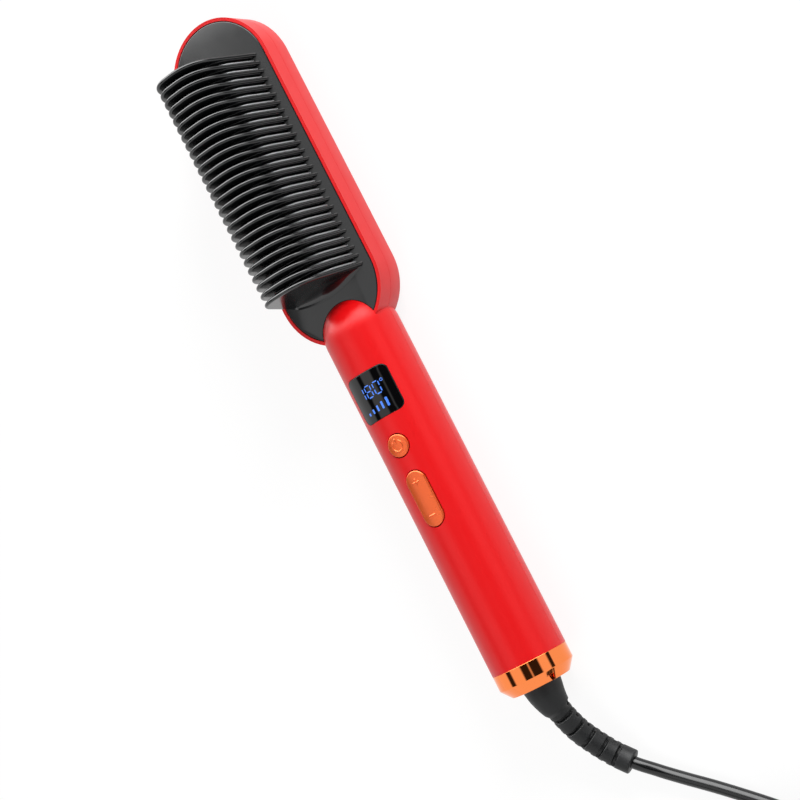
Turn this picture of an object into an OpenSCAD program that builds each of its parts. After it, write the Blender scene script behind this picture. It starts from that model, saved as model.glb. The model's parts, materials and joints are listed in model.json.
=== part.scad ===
// Heated comb brush for straightening hair: a round handle with a lit display,
// a power button and a temperature rocker, a flat oval head whose comb of tall
// guard fins stands over heated blades, and a mains lead on a swivel.
// It lies on its back. The long axis runs along Y, the fins stand up along Z,
// and the origin is on the resting surface under the middle of the head.

/* [Housing] */
// Diameter of the round handle
handle_d = 31.2; // [29:0.1:36]
// Distance from the middle of the head to the end of the handle
reach = 221; // [205:1:250]
// Radius of the head's round ends
head_r = 23.7; // [22.5:0.1:27]
// Distance between the centres of the head's round ends
head_span = 93.5; // [85:0.5:120]
// Height of the head's front rim above the handle's axis
front_h = 7.9; // [7:0.1:9]
// Depth of the head's straight side wall below the handle's axis
side_h = 7.1; // [5:0.1:9]
// Half width of the flat that the head rests on
rest_half_w = 12; // [9:0.5:14]
// Wall thickness of the two shells
wall = 2.2; // [1.8:0.1:2.6]
// Gap between pieces that are fitted side by side
fit_gap = 0.3; // [0.2:0.05:0.4]
// Gap between flat faces that are clamped together
seat_gap = 0.1; // [0.05:0.05:0.2]

/* [Comb] */
// Width of the rim left round the comb panel
rim_w = 1.35; // [1:0.05:2]
// Thickness of the comb panel
panel_t = 2; // [1.6:0.1:2.4]
// Number of guard fins
fin_count = 27; // [21:2:31]
// Distance from one fin to the next
fin_pitch = 3.58; // [3.4:0.02:3.6]
// Thickness of a guard fin
fin_t = 1.6; // [1.3:0.1:1.8]
// Height of the fins above the panel
fin_h = 25.8; // [20:0.2:30]
// Half width of the comb at the panel
fin_half_w = 19.3; // [17:0.1:19.8]
// Angle at which a fin's long side rises
fin_rise = 58; // [50:1:66]
// Radius of the curve from a fin's long side to its crest
crest_r = 17; // [12:0.5:20]
// Radius of the nose over a fin's steep side
nose_r = 8; // [5:0.5:9]
// Lean of the middle fin towards the tip of the head
fin_lean = 7; // [0:0.5:9]
// How much further the first fin leans than the middle one
fin_fan = 3.6; // [0:0.2:5]
// How far the foot of the end guard runs out along the panel
guard_foot = 4.8; // [3:0.2:6]
// Height of the concave foot of the end guards
guard_h = 15; // [10:0.5:18]
// Thickness of a heated blade
blade_t = 0.9; // [0.7:0.05:1]
// How far the blades stay below the fins' crests
blade_drop = 9; // [8:0.5:13]
// Thickness of the plate that the blades stand on
plate_t = 1.6; // [1.2:0.1:1.6]

/* [Controls] */
// Distance from the handle's end to the middle of the display
display_at = 127; // [124:0.5:132]
// Length of the display window
display_l = 19; // [16:0.5:21]
// Half width of the display window
display_half_w = 9.6; // [8:0.1:10]
// Corner radius of the display window
display_corner = 2.6; // [1:0.1:4]
// Distance from the handle's end to the power button
power_at = 105.3; // [103:0.5:110]
// Diameter of the power button
power_d = 9; // [7:0.1:10]
// Distance from the handle's end to the middle of the rocker
rocker_at = 82.7; // [75:0.5:84]
// Length of the temperature rocker
rocker_l = 23; // [20:0.5:25]
// Width of the temperature rocker
rocker_w = 8.8; // [7:0.1:9.5]
// Gap all round the button and the rocker
key_gap = 0.4; // [0.3:0.05:0.5]
// How far the button and the rocker stand proud of the handle
key_proud = 0.3; // [0.2:0.05:0.5]
// Press of the power button
key_travel = 0.35; // [0.2:0.05:0.5]

/* [End cap and swivel] */
// Length of the end cap
cap_l = 10.5; // [9:0.5:14]
// Length of the end cap's chamfer
cap_chamfer_l = 4.3; // [3:0.1:6]
// Depth of the end cap's chamfer
cap_chamfer_d = 3.3; // [2:0.1:4]
// Length of the spigot that holds the cap in the handle
spigot_l = 7; // [5:0.5:9]
// Wall of the spigot
spigot_wall = 1.4; // [1:0.1:1.6]
// Diameter of the hole for the swivel
swivel_hole_d = 16.6; // [15:0.1:17]
// Diameter of the swivel's journal
journal_d = 12; // [10:0.2:13]
// Running gap round the journal
journal_gap = 0.25; // [0.2:0.05:0.3]
// Diameter of the slip rings
slip_ring_d = 10; // [9:0.2:11]

/* [Lead] */
// Diameter of the mains lead
cord_d = 5; // [4.6:0.1:5.2]
// Diameter of the strain relief's ribs
relief_d = 9.8; // [9:0.1:10.4]
// Diameter of the strain relief at the cap
relief_root_d = 16; // [14:0.1:16.2]
// Diameter of the strain relief at the end of its cone
relief_cone_d = 11.4; // [10.6:0.1:12]
// Width of a slot in the strain relief
relief_slot_w = 1.1; // [0.9:0.1:1.4]
// Depth of a slot in the strain relief
relief_slot_depth = 1.5; // [1:0.1:1.7]
// Turns of the stored coil
coil_turns = 9; // [8:1:9]
// Mean diameter of the stored coil
coil_mean_d = 57; // [57:1:60]
// Diameter of a plug pin
pin_d = 4; // [3.8:0.1:4.2]
// Length of a plug pin
pin_l = 19; // [15:0.5:20]
// Distance between the two plug pins
pin_spacing = 18.6; // [17:0.1:19.2]

/* [Hidden] */
$fn = 96;
EPS = 0.01;
FAR = 200;

// Colours, as moulded or plated
RED = "#e0262c";
BLACK = "#2a2a2c";
COPPER = "#e8743a";
STEEL = "#b9bcc0";
ALLOY = "#c9ccd0";
BRASS = "#c9a24a";
GREEN = "#1f6b45";
CREAM = "#e9e2cf";

// Housing
handle_r = handle_d / 2;
bore_r = handle_r - wall;
tail_y = -reach;
cap_y = tail_y + cap_l;
end_y = head_span / 2;
dome_y = -end_y - head_r + 1.85;
cavity_r = head_r - wall;
panel_z = front_h - panel_t;
ledge_t = 1.6;
ledge_r = cavity_r - 1.5;
edge_drop = handle_r - side_h;
edge_run = head_r - rest_half_w;
edge_r = (edge_run * edge_run + edge_drop * edge_drop) / (2 * edge_drop);
way_half_w = 7;
way_top = 4.2;

// Comb
panel_r = head_r - rim_w - fit_gap;
comb_y0 = -fin_pitch * (fin_count - 1) / 2;
nose_set = 1.6;
guard_mid = 1.5;
guard_reach = fin_half_w + 1.2;
dish_r = (guard_reach * guard_reach + guard_foot * guard_foot) / (2 * guard_foot);
blade_half_w = fin_half_w - 2.5;
blade_h = fin_h - blade_drop;
blade_nose_r = 2.5;
plate_z = panel_z - seat_gap - plate_t;
plate_half_w = blade_half_w + 0.8;
plate_half_l = -comb_y0 + 1.5;
post_r = 2.3;
post_x = 11;
post_y = plate_half_l - 5.5;
heater_t = 2.2;
heater_l = 34;
heater_w = 14;
mica_t = 0.3;
clamp_t = 1.2;
heater_z = plate_z - seat_gap - heater_t;
mica_z = heater_z - seat_gap - mica_t;
clamp_z = mica_z - seat_gap - clamp_t;
clamp_screw_r = 0.8;
clamp_screw_head_r = 1.9;
clamp_screw_head_h = 1.4;
fuse_r = 1.9;
fuse_l = 11;
hook_y = [-30, 30];

// Controls
display_y = tail_y + display_at;
power_y = tail_y + power_at;
rocker_y = tail_y + rocker_at;
board_t = 1.6;
board_z = 3;
board_top = board_z + board_t;
board_half_w = 11.6;
board_y0 = tail_y + 40;
board_y1 = display_y + display_l / 2 + 4;
switch_w = 6;
switch_h = 3.5;
switch_tip_r = 1.6;
switch_top = board_top + switch_h + 1;
rocker_reach = rocker_l / 2 - 4.5;
key_r = handle_r + key_proud;
flange_t = 1;
flange_out = 1.2;
flange_top = sqrt(pow(bore_r, 2) - pow(power_d / 2 + flange_out, 2)) - fit_gap;
rocker_flange_top = sqrt(pow(bore_r, 2) - pow(rocker_w / 2 + flange_out, 2)) - 2 * fit_gap;
pivot_r = 1;
pivot_gap = 0.1;
pivot_z = rocker_flange_top - 1.5;
pivot_l = 1.2;
rocker_sunk = 0.3;
window_t = 1;
window_r = handle_r - 0.05;
window_seat_r = window_r - window_t;
window_sill = 1.6;
board_posts = [board_y0 + 8, rocker_y - rocker_l / 2, display_y - display_l / 2 - 3];

// End cap and swivel
cap_wall = 2;
spigot_r = bore_r - 0.15;
socket_y0 = tail_y + cap_wall + seat_gap;
socket_y1 = cap_y + spigot_l - 0.5;
socket_r = spigot_r - spigot_wall - 0.15;
journal_r = journal_d / 2;
stem_disc_r = swivel_hole_d / 2 - fit_gap;
stem_tail_r = 4;
stem_tail_l = 13;
keeper_t = 2;
keeper_y = socket_y1 + fit_gap;
stem_end_y = keeper_y + keeper_t + stem_tail_l;
slip_w = 2.5;
slip_y = [keeper_y + keeper_t + 2, keeper_y + keeper_t + 7.5];
notch_angle = 48;
notch_w = 2.6;
notch_l = 2.2;
notch_depth = 1.4;

// Strain relief: its course as x, distance past the handle's end, and share of
// the drop to the surface that is still to come. Points 3 to 12 are its slots
relief_y0 = tail_y;
relief_rest = relief_d / 2 + 0.2;
relief_course = [
    [0, 0, 1], [0.1, 4, 0.99], [0.4, 7.6, 0.954], [0.9, 11.2, 0.886], [1.2, 14, 0.803],
    [1.5, 17, 0.695], [2, 20, 0.581], [2.7, 23, 0.471], [3.9, 26.1, 0.365], [5.2, 29, 0.271],
    [6.6, 31.8, 0.186], [8.2, 34.5, 0.114], [10, 37.1, 0.059], [12.1, 39.6, 0.021], [14.3, 42, 0]
];
relief_path = [for (p = relief_course)
    [p.x, relief_y0 - p.y, relief_rest + p.z * (handle_r - relief_rest)]];
relief_slots = [3:12];
relief_sides = 20;
slot_wall = 0.1;

// Lead: the free lead's route along the surface, to the coil and on to the plug
cord_r = cord_d / 2;
plug_t = 13.6;
tie_t = 0.5;
coil_step = cord_d + 0.5;
coil_rise = cord_d + 0.45;
coil_layers = 4;
layer_turns = coil_turns / coil_layers;
coil_center = [48.8, relief_y0 - 116.4];
coil_start = 43;
coil_floor = cord_r + tie_t + 0.1;
ring_count = 24;
coil_out_r = (coil_mean_d + coil_step * layer_turns) / 2;
coil_top = coil_floor + coil_rise * (coil_layers - 1);
lead_route = [
    [14.3, relief_y0 - 42, relief_rest], [17.2, relief_y0 - 44.7, cord_r + 2.1],
    [20.2, relief_y0 - 47.5, cord_r + 1.2], [24, relief_y0 - 50.9, cord_r + 0.5],
    [31.2, relief_y0 - 56.5, cord_r + 0.1], [39.1, relief_y0 - 62.3, cord_r],
    [47.5, relief_y0 - 68.8, cord_r], [56, relief_y0 - 75.6, cord_r + 0.1],
    [63.6, relief_y0 - 82.1, cord_r + 0.3]
];
tail_route = [
    [81.7, relief_y0 - 99.9, coil_top], [85.3, relief_y0 - 104.8, coil_top - 0.2],
    [88.2, relief_y0 - 110.3, coil_top - 0.9], [90.3, relief_y0 - 116.3, coil_top - 2.2],
    [91.7, relief_y0 - 122.7, coil_top - 4.2], [92.2, relief_y0 - 129.7, cord_r + 10],
    [91.6, relief_y0 - 136.7, cord_r + 7.1], [89.5, relief_y0 - 143.5, cord_r + 4.4],
    [85.9, relief_y0 - 149.8, cord_r + 2.2], [80.6, relief_y0 - 155.2, cord_r + 0.8],
    [74.1, relief_y0 - 159.4, cord_r + 0.2], [66.8, relief_y0 - 162.3, cord_r + 0.7],
    [59.2, relief_y0 - 163.9, cord_r + 2.1], [51.6, relief_y0 - 164.5, plug_t / 2 - 0.8],
    [46.3, relief_y0 - 164.5, plug_t / 2 - 0.1], [41.2, relief_y0 - 164.5, plug_t / 2],
    [36, relief_y0 - 164.5, plug_t / 2]
];
plug_at = tail_route[len(tail_route) - 1];
plug_l = 36;
plug_face_w = 35.3;
plug_rear_w = 15;
plug_neck_l = 11;
plug_neck_d = 8;
plug_face_x = -plug_neck_l - plug_l;
sleeve_l = 10;
sleeve_r = pin_d / 2 - 0.25;
pin_core_r = sleeve_r - 0.4;
pin_tip_l = 1;

// Screws
screw_d = 2.6;
screw_head_d = 4.8;
screw_head_h = 2;
boss_r = 3;
boss_ring = cavity_r - boss_r + 0.3;
boss_at = [for (a = [60, 120]) [boss_ring * cos(a), end_y + boss_ring * sin(a)],
    for (a = [200, 340]) [boss_ring * cos(a), -end_y + boss_ring * sin(a)]];

// Places its children on the handle's axis
module on_axis() {
    translate([0, 0, handle_r]) children();
}

// Turns a shape drawn about Z so that its Z runs along Y
module along_y() {
    rotate([-90, 0, 0]) children();
}

// Solid between two stations of the handle's axis
module rod(r, y0, y1) {
    translate([0, y0, 0]) along_y() cylinder(r = r, h = y1 - y0);
}

module half_space(up) {
    translate([-FAR, -2 * FAR, up ? 0 : -FAR]) cube([2 * FAR, 4 * FAR, FAR]);
}

// Outline with two round ends
module stadium_2d(r, span) {
    for (s = [-1, 1]) translate([0, s * span / 2]) circle(r = r);
    square([2 * r, span], center = true);
}

module stadium(r, span, z0, z1) {
    translate([0, 0, z0]) linear_extrude(z1 - z0) stadium_2d(r, span);
}

module round_rect_2d(w, l, r) {
    square([w - 2 * r, l], center = true);
    square([w, l - 2 * r], center = true);
    for (x = [-1, 1], y = [-1, 1]) translate([x * (w / 2 - r), y * (l / 2 - r)]) circle(r = r);
}

// Round handle that ends in a dome at the head, about the handle's axis
module handle_form(r, y0) {
    translate([0, dome_y, 0]) rotate([90, 0, 0]) rotate_extrude() {
        square([r, dome_y - y0]);
        intersection() {
            circle(r = r);
            translate([0, -r]) square([r, r + EPS]);
        }
    }
}

// Half section of the head's crowned back
module back_section_2d() {
    translate([0, -handle_r]) square([rest_half_w, handle_r]);
    translate([0, -side_h]) square([head_r, side_h]);
    intersection() {
        translate([rest_half_w, edge_r - handle_r]) circle(r = edge_r);
        translate([rest_half_w - EPS, -handle_r]) square([edge_run + EPS, handle_r]);
    }
}

module head_back() {
    for (s = [0, 1]) rotate([0, 0, 180 * s]) {
        translate([0, end_y, 0]) rotate_extrude(angle = 180) back_section_2d();
    }
    rotate([90, 0, 0]) linear_extrude(head_span, center = true) {
        back_section_2d();
        mirror([1, 0]) back_section_2d();
    }
}

// Opening through which the wires pass from the handle into the head
module wire_way() {
    translate([-way_half_w, dome_y, -way_top]) cube([2 * way_half_w, handle_r + 4, 2 * way_top]);
}

module front_bosses() {
    for (b = boss_at) translate([b.x, b.y, seat_gap]) cylinder(r = boss_r, h = panel_z - seat_gap - EPS);
}

module boss_holes() {
    for (b = boss_at) translate([b.x, b.y, -1]) cylinder(r = screw_d / 2 + 0.05, h = panel_z + 1);
}

// Ears that carry the rocker's pivots under the wall
module rocker_ears() {
    ear_w = 2;
    for (s = [-1, 1]) {
        x = s * (rocker_w / 2 + flange_out + fit_gap + ear_w / 2);
        intersection() {
            translate([x, rocker_y, 0]) difference() {
                translate([-ear_w / 2, -2.5, pivot_z - 2.5]) cube([ear_w, 5, handle_r]);
                translate([0, 0, pivot_z]) rotate([0, 90, 0]) {
                    cylinder(r = pivot_r + pivot_gap, h = 3 * ear_w, center = true);
                }
            }
            rod(bore_r + 0.5, rocker_y - 4, rocker_y + 4);
        }
    }
}

module key_holes() {
    translate([0, power_y, 0]) cylinder(r = power_d / 2 + key_gap, h = FAR / 2);
    translate([0, rocker_y, 0]) linear_extrude(FAR / 2) {
        stadium_2d(rocker_w / 2 + key_gap, rocker_l - rocker_w);
    }
}

module window_form(gap, r0, r1) {
    intersection() {
        translate([0, display_y, 0]) linear_extrude(FAR / 2) {
            round_rect_2d(2 * (display_half_w + gap), display_l + 2 * gap, display_corner + gap);
        }
        difference() {
            rod(r1, display_y - display_l, display_y + display_l);
            rod(r0, display_y - display_l - 1, display_y + display_l + 1);
        }
    }
}

module front_shell() {
    color(RED) on_axis() {
        difference() {
            intersection() {
                union() {
                    handle_form(handle_r, cap_y);
                    stadium(head_r, head_span, 0, front_h);
                }
                half_space(true);
            }
            handle_form(bore_r, cap_y - 1);
            difference() {
                union() {
                    stadium(panel_r + fit_gap, head_span, panel_z, front_h + 1);
                    stadium(ledge_r, head_span, panel_z - ledge_t - EPS, front_h);
                    stadium(cavity_r, head_span, -1, panel_z - ledge_t);
                }
                handle_form(handle_r, cap_y);
            }
            wire_way();
            key_holes();
            window_form(0.12, window_seat_r - 0.12, handle_r + 2);
            translate([0, display_y, 0]) linear_extrude(FAR / 2) {
                square([2 * (display_half_w - window_sill), display_l - 2 * window_sill], center = true);
            }
            boss_holes();
        }
        difference() {
            front_bosses();
            boss_holes();
        }
        rocker_ears();
    }
}

module rear_posts() {
    for (y = board_posts, s = [-1, 1]) intersection() {
        translate([s * 8, y, -handle_r]) cylinder(r = 2, h = handle_r + board_z - seat_gap);
        rod(bore_r + 0.5, y - 3, y + 3);
    }
}

module rear_shell() {
    color(RED) on_axis() {
        difference() {
            intersection() {
                union() {
                    handle_form(handle_r, cap_y);
                    head_back();
                }
                translate([0, 0, -seat_gap]) half_space(false);
            }
            handle_form(bore_r, cap_y - 1);
            difference() {
                union() {
                    stadium(cavity_r, head_span, -side_h, 1);
                    stadium(rest_half_w + 3, head_span, wall - handle_r, 1);
                }
                handle_form(handle_r, cap_y);
                for (b = boss_at) translate([b.x, b.y, -FAR]) cylinder(r = boss_r, h = 2 * FAR);
            }
            wire_way();
            for (b = boss_at) translate([b.x, b.y, -handle_r - 1]) {
                cylinder(r = screw_d / 2 + 0.15, h = 2 * handle_r);
                cylinder(r = screw_head_d / 2 + 0.2, h = 1 + handle_r / 2);
            }
        }
        rear_posts();
    }
}

// Points of an arc about c, from angle a0 to a1
function arc(c, r, a0, a1, n) = [for (i = [0:n]) let (a = a0 + (a1 - a0) * i / n) c + r * [cos(a), sin(a)]];

// Outline of a fin: a long side that rises at a slope, a round crest and a
// round nose over the steep side
function fin_outline(half_w, h, nose) = let (
    drop = crest_r * (1 - cos(fin_rise)),
    crest_x = half_w - (h - drop) / tan(fin_rise) - crest_r * sin(fin_rise),
    nose_x = nose - half_w + nose_set
) concat(
    [[half_w, -EPS]],
    arc([max(crest_x, nose_x + 0.5), h - crest_r], crest_r, 90 - fin_rise, 90, 9),
    arc([nose_x, h - nose], nose, 90, 175, 9),
    [[-half_w, -EPS]]
);

// Lean of the fin or blade that stands at y on the panel
function lean_at(y) = -(fin_lean + fin_fan * y / -comb_y0);

// A fin's form of thickness t, upright about its middle
module fin_form(t) {
    rotate([90, 0, 0]) linear_extrude(t, center = true) polygon(fin_outline(fin_half_w, fin_h, nose_r));
}

module fin(y, t) {
    translate([0, y, 0]) rotate([lean_at(y), 0, 0]) fin_form(t);
}

// Foot of an end guard: a dish turned about an upright axis, whose rim meets
// the ends of the fin and whose wall curves up into the fin
module guard_dish() {
    rotate_extrude($fn = 180) polygon(concat(
        [[0, -1], [dish_r, -1]],
        [for (a = [0:9:90]) [dish_r - guard_foot * sin(a), guard_h * (1 - cos(a))]],
        [[dish_r - guard_foot, fin_h + 1], [0, fin_h + 1]]
    ));
}

// End guard: the last fin with its foot on the side s
module end_guard(y, s) {
    translate([0, y, 0]) rotate([lean_at(y), 0, 0]) intersection() {
        translate([0, s * guard_foot / 2, 0]) fin_form(guard_foot + fin_t);
        union() {
            translate([0, -s * fin_t / 4, fin_h / 2]) {
                cube([2 * fin_half_w + 2, 1.5 * fin_t, fin_h + 2], center = true);
            }
            translate([-guard_mid, s * (guard_foot - dish_r), 0]) guard_dish();
        }
    }
}

module comb_posts(r, z0, z1) {
    for (x = [-1, 1], y = [-1, 1]) translate([x * post_x, y * post_y, z0]) cylinder(r = r, h = z1 - z0);
}

module panel_hooks() {
    hook_t = 1.4;
    x0 = ledge_r - fit_gap - hook_t;
    for (y = hook_y, s = [0, 1]) rotate([0, 0, 180 * s]) translate([x0, y - 3, 0]) {
        translate([0, 0, panel_z - ledge_t - 1.4]) cube([hook_t, 6, ledge_t + 1.4 + seat_gap + EPS]);
        translate([0, 0, panel_z - ledge_t - 1.4]) cube([hook_t + 1.1, 6, 1.4 - seat_gap]);
    }
}

module comb_guard() {
    color(BLACK) on_axis() {
        difference() {
            stadium(panel_r, head_span, panel_z + seat_gap, front_h);
            translate([0, dome_y, 0]) sphere(r = handle_r + fit_gap);
            for (k = [0:fin_count - 2]) {
                y = comb_y0 + (k + 0.5) * fin_pitch;
                translate([0, y, front_h]) rotate([lean_at(y), 0, 0]) {
                    cube([2 * blade_half_w + 1, blade_t + 0.5, 4 * panel_t], center = true);
                }
            }
        }
        translate([0, 0, front_h]) {
            for (k = [1:fin_count - 2]) fin(comb_y0 + k * fin_pitch, fin_t);
            end_guard(comb_y0, -1);
            end_guard(-comb_y0, 1);
        }
        difference() {
            comb_posts(post_r, clamp_z + clamp_t + seat_gap, panel_z + seat_gap + EPS);
            comb_posts(clamp_screw_r + seat_gap, clamp_z, panel_z);
        }
        panel_hooks();
    }
}

module heating_comb() {
    color(ALLOY) on_axis() {
        difference() {
            translate([0, 0, plate_z]) linear_extrude(plate_t) {
                round_rect_2d(2 * plate_half_w, 2 * plate_half_l, 3);
            }
            comb_posts(post_r + fit_gap, plate_z - 1, plate_z + plate_t + 1);
        }
        difference() {
            translate([0, 0, front_h]) for (k = [0:fin_count - 2]) {
                blade(comb_y0 + (k + 0.5) * fin_pitch);
            }
            translate([-FAR, -FAR, plate_z - FAR]) cube([2 * FAR, 2 * FAR, FAR + plate_t / 2]);
            comb_posts(post_r + fit_gap, plate_z - 1, panel_z + 1);
        }
    }
}

// One heated blade, whose foot reaches down through its slot to the plate
module blade(y) {
    foot = panel_t + seat_gap + plate_t / 2;
    translate([0, y, 0]) rotate([lean_at(y), 0, 0]) rotate([90, 0, 0]) linear_extrude(blade_t, center = true) {
        polygon(fin_outline(blade_half_w, blade_h, blade_nose_r));
        translate([-blade_half_w, -foot - 0.5]) square([2 * blade_half_w, foot + 0.5]);
    }
}

module ptc_heaters() {
    color(CREAM) on_axis() for (s = [-1, 1]) {
        translate([-heater_w / 2, s * (heater_l / 2 + 1.5) - heater_l / 2, heater_z]) {
            cube([heater_w, heater_l, heater_t]);
        }
    }
}

module mica_sheet() {
    color("#c8b27a") on_axis() translate([-heater_w / 2 - 1, -heater_l - 2.5, mica_z]) {
        cube([heater_w + 2, 2 * heater_l + 5, mica_t]);
    }
}

module heater_clamp() {
    color(STEEL) on_axis() difference() {
        translate([0, 0, clamp_z]) linear_extrude(clamp_t) {
            round_rect_2d(2 * post_x + 7, 2 * post_y + 7, 2);
        }
        comb_posts(clamp_screw_r + fit_gap, clamp_z - 1, clamp_z + clamp_t + 1);
        translate([0, 0, clamp_z - 1]) linear_extrude(clamp_t + 2) {
            square([heater_w / 2, heater_l - 4], center = true);
        }
    }
}

module heater_screws() {
    under = clamp_z - seat_gap;
    color(STEEL) on_axis() for (x = [-1, 1], y = [-1, 1]) translate([x * post_x, y * post_y, 0]) {
        translate([0, 0, under - clamp_screw_head_h]) cylinder(r = clamp_screw_head_r, h = clamp_screw_head_h);
        translate([0, 0, under - EPS]) cylinder(r = clamp_screw_r, h = panel_z - fit_gap - under);
    }
}

module thermal_fuse() {
    fuse_y = heater_l / 2 + 1.5;
    color(STEEL) on_axis() translate([0, 0, clamp_z - seat_gap - fuse_r - 0.1]) {
        rod(fuse_r, fuse_y, fuse_y + fuse_l);
        rod(0.5, fuse_y - 4, fuse_y + fuse_l + 4);
    }
}

module temperature_sensor() {
    color("#8c5a2b") on_axis() translate([0, 0, mica_z - seat_gap - 1.5]) {
        sphere(r = 1.5);
        rod(0.6, -8, 0);
    }
}

// Two insulated wires from the board to the heaters
module heater_leads() {
    wire_r = 0.8;
    z = board_z - 1.2;
    for (s = [-1, 1]) color(s > 0 ? RED : CREAM) on_axis() translate([s * 4, 0, z]) {
        rod(wire_r, board_y1 - 6, comb_y0 - 3);
    }
}

module display_window() {
    color("#101014") on_axis() window_form(0, window_seat_r, window_r);
}

module display_module() {
    top = sqrt(pow(bore_r, 2) - pow(display_half_w - window_sill, 2)) - fit_gap;
    color("#17181c") on_axis() translate([0, display_y, (board_top + seat_gap + top) / 2]) {
        cube([2 * (display_half_w - window_sill) - 1, display_l - 2, top - board_top - seat_gap], center = true);
    }
}

module control_board() {
    color(GREEN) on_axis() difference() {
        translate([-board_half_w, board_y0, board_z]) cube([2 * board_half_w, board_y1 - board_y0, board_t]);
        for (y = board_posts, s = [-1, 1]) translate([s * 8, y, board_z - 1]) cylinder(r = 0.9, h = board_t + 2);
    }
}

module tact_switch(y) {
    translate([0, y, board_top + seat_gap]) {
        translate([-switch_w / 2, -switch_w / 2, 0]) cube([switch_w, switch_w, switch_h]);
        cylinder(r = switch_tip_r, h = switch_top - board_top - seat_gap);
    }
}

module tactile_switches() {
    color("#33363b") on_axis() {
        tact_switch(power_y);
        for (s = [-1, 1]) tact_switch(rocker_y + s * rocker_reach);
    }
}

module mains_capacitor() {
    color("#d9b21c") on_axis() translate([-6.5, board_y0 + 14, board_z - seat_gap - 11]) cube([13, 15, 11]);
}

module triac() {
    color(BLACK) on_axis() translate([-5, board_y0 + 36, board_z - seat_gap - 4.5]) {
        difference() {
            cube([10, 15.5, 4.5]);
            translate([5, 12.6, 1.4 - FAR]) cylinder(r = 1.8, h = FAR);
            translate([-1, 9.4, -1]) cube([12, 7, 4.2]);
        }
    }
}

// Outline of the bar and broken ring on the power button
module power_mark_2d() {
    difference() {
        circle(r = 2.5);
        circle(r = 1.9);
        translate([-0.9, 0]) square([1.8, 4]);
    }
    translate([-0.3, 0.9]) square([0.6, 2.1]);
}

module power_button() {
    mark_t = 0.25;
    foot_z = switch_top + key_travel + 0.1;
    color(COPPER) on_axis() {
        intersection() {
            translate([0, power_y, foot_z + 1]) cylinder(r = power_d / 2, h = handle_r);
            rod(key_r, power_y - power_d, power_y + power_d);
        }
        translate([0, power_y, foot_z]) cylinder(r = 2, h = 2);
        translate([0, power_y, flange_top - flange_t]) cylinder(r = power_d / 2 + flange_out, h = flange_t);
        intersection() {
            translate([0, power_y, handle_r - 1]) linear_extrude(4) power_mark_2d();
            rod(key_r + mark_t, power_y - power_d, power_y + power_d);
        }
    }
}

module temperature_rocker() {
    foot_z = switch_top + 0.45;
    mark_t = 0.25;
    color(COPPER) on_axis() {
        intersection() {
            translate([0, rocker_y, rocker_flange_top - rocker_sunk]) linear_extrude(handle_r) {
                stadium_2d(rocker_w / 2, rocker_l - rocker_w);
            }
            rod(key_r, rocker_y - rocker_l, rocker_y + rocker_l);
        }
        translate([0, rocker_y, rocker_flange_top - flange_t]) linear_extrude(flange_t) {
            stadium_2d(rocker_w / 2 + flange_out, rocker_l - rocker_w - 2 * flange_out);
        }
        for (s = [-1, 1]) translate([0, rocker_y + s * rocker_reach, foot_z]) {
            cylinder(r = 1.8, h = rocker_flange_top - flange_t / 2 - foot_z);
        }
        translate([0, rocker_y, pivot_z]) rotate([0, 90, 0]) {
            cylinder(r = pivot_r, h = rocker_w + 2 * flange_out + 2 * fit_gap + 2 * pivot_l, center = true);
        }
        intersection() {
            translate([0, rocker_y, handle_r - 1]) linear_extrude(4) {
                for (s = [-1, 1]) translate([0, s * rocker_reach]) square([3.2, 0.7], center = true);
                translate([0, rocker_reach]) square([0.7, 3.2], center = true);
            }
            rod(key_r + mark_t, rocker_y - rocker_l, rocker_y + rocker_l);
        }
    }
}

module shell_screws() {
    head_z = -handle_r + handle_r / 2 - seat_gap;
    color(STEEL) on_axis() for (b = boss_at) translate([b.x, b.y, head_z]) {
        translate([0, 0, -screw_head_h]) cylinder(r = screw_head_d / 2, h = screw_head_h);
        translate([0, 0, -EPS]) cylinder(r = screw_d / 2, h = panel_z - 0.5 - head_z);
    }
}

module end_cap() {
    hole_r = swivel_hole_d / 2;
    rim_r = handle_r - cap_chamfer_d;
    color(COPPER) on_axis() difference() {
        translate([0, tail_y, 0]) along_y() rotate_extrude() polygon([
            [hole_r, 0], [rim_r, 0], [handle_r, cap_chamfer_l], [handle_r, cap_l], [spigot_r, cap_l],
            [spigot_r, cap_l + spigot_l], [spigot_r - spigot_wall, cap_l + spigot_l],
            [spigot_r - spigot_wall, cap_wall], [hole_r, cap_wall]
        ]);
        rotate([0, notch_angle, 0]) translate([-notch_w / 2, tail_y - 1, rim_r - notch_depth]) {
            cube([notch_w, notch_l + 1, notch_depth + cap_chamfer_d]);
        }
    }
}

module swivel_socket() {
    color(BLACK) on_axis() difference() {
        rod(socket_r, socket_y0, socket_y1);
        rod(journal_r + journal_gap, socket_y0 - 1, socket_y1 + 1);
    }
}

module swivel_stem() {
    disc_y1 = socket_y0 - fit_gap;
    color(BLACK) on_axis() difference() {
        union() {
            rod(stem_disc_r, tail_y, disc_y1);
            rod(journal_r, tail_y + 1, keeper_y + 1);
            rod(stem_disc_r, keeper_y, keeper_y + keeper_t);
            rod(stem_tail_r, keeper_y + 1, stem_end_y);
        }
        rod(1.4, keeper_y, stem_end_y + 1);
    }
}

module slip_rings() {
    color(BRASS) on_axis() for (y = slip_y) difference() {
        rod(slip_ring_d / 2, y, y + slip_w);
        rod(stem_tail_r, y - 1, y + slip_w + 1);
    }
}

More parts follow.
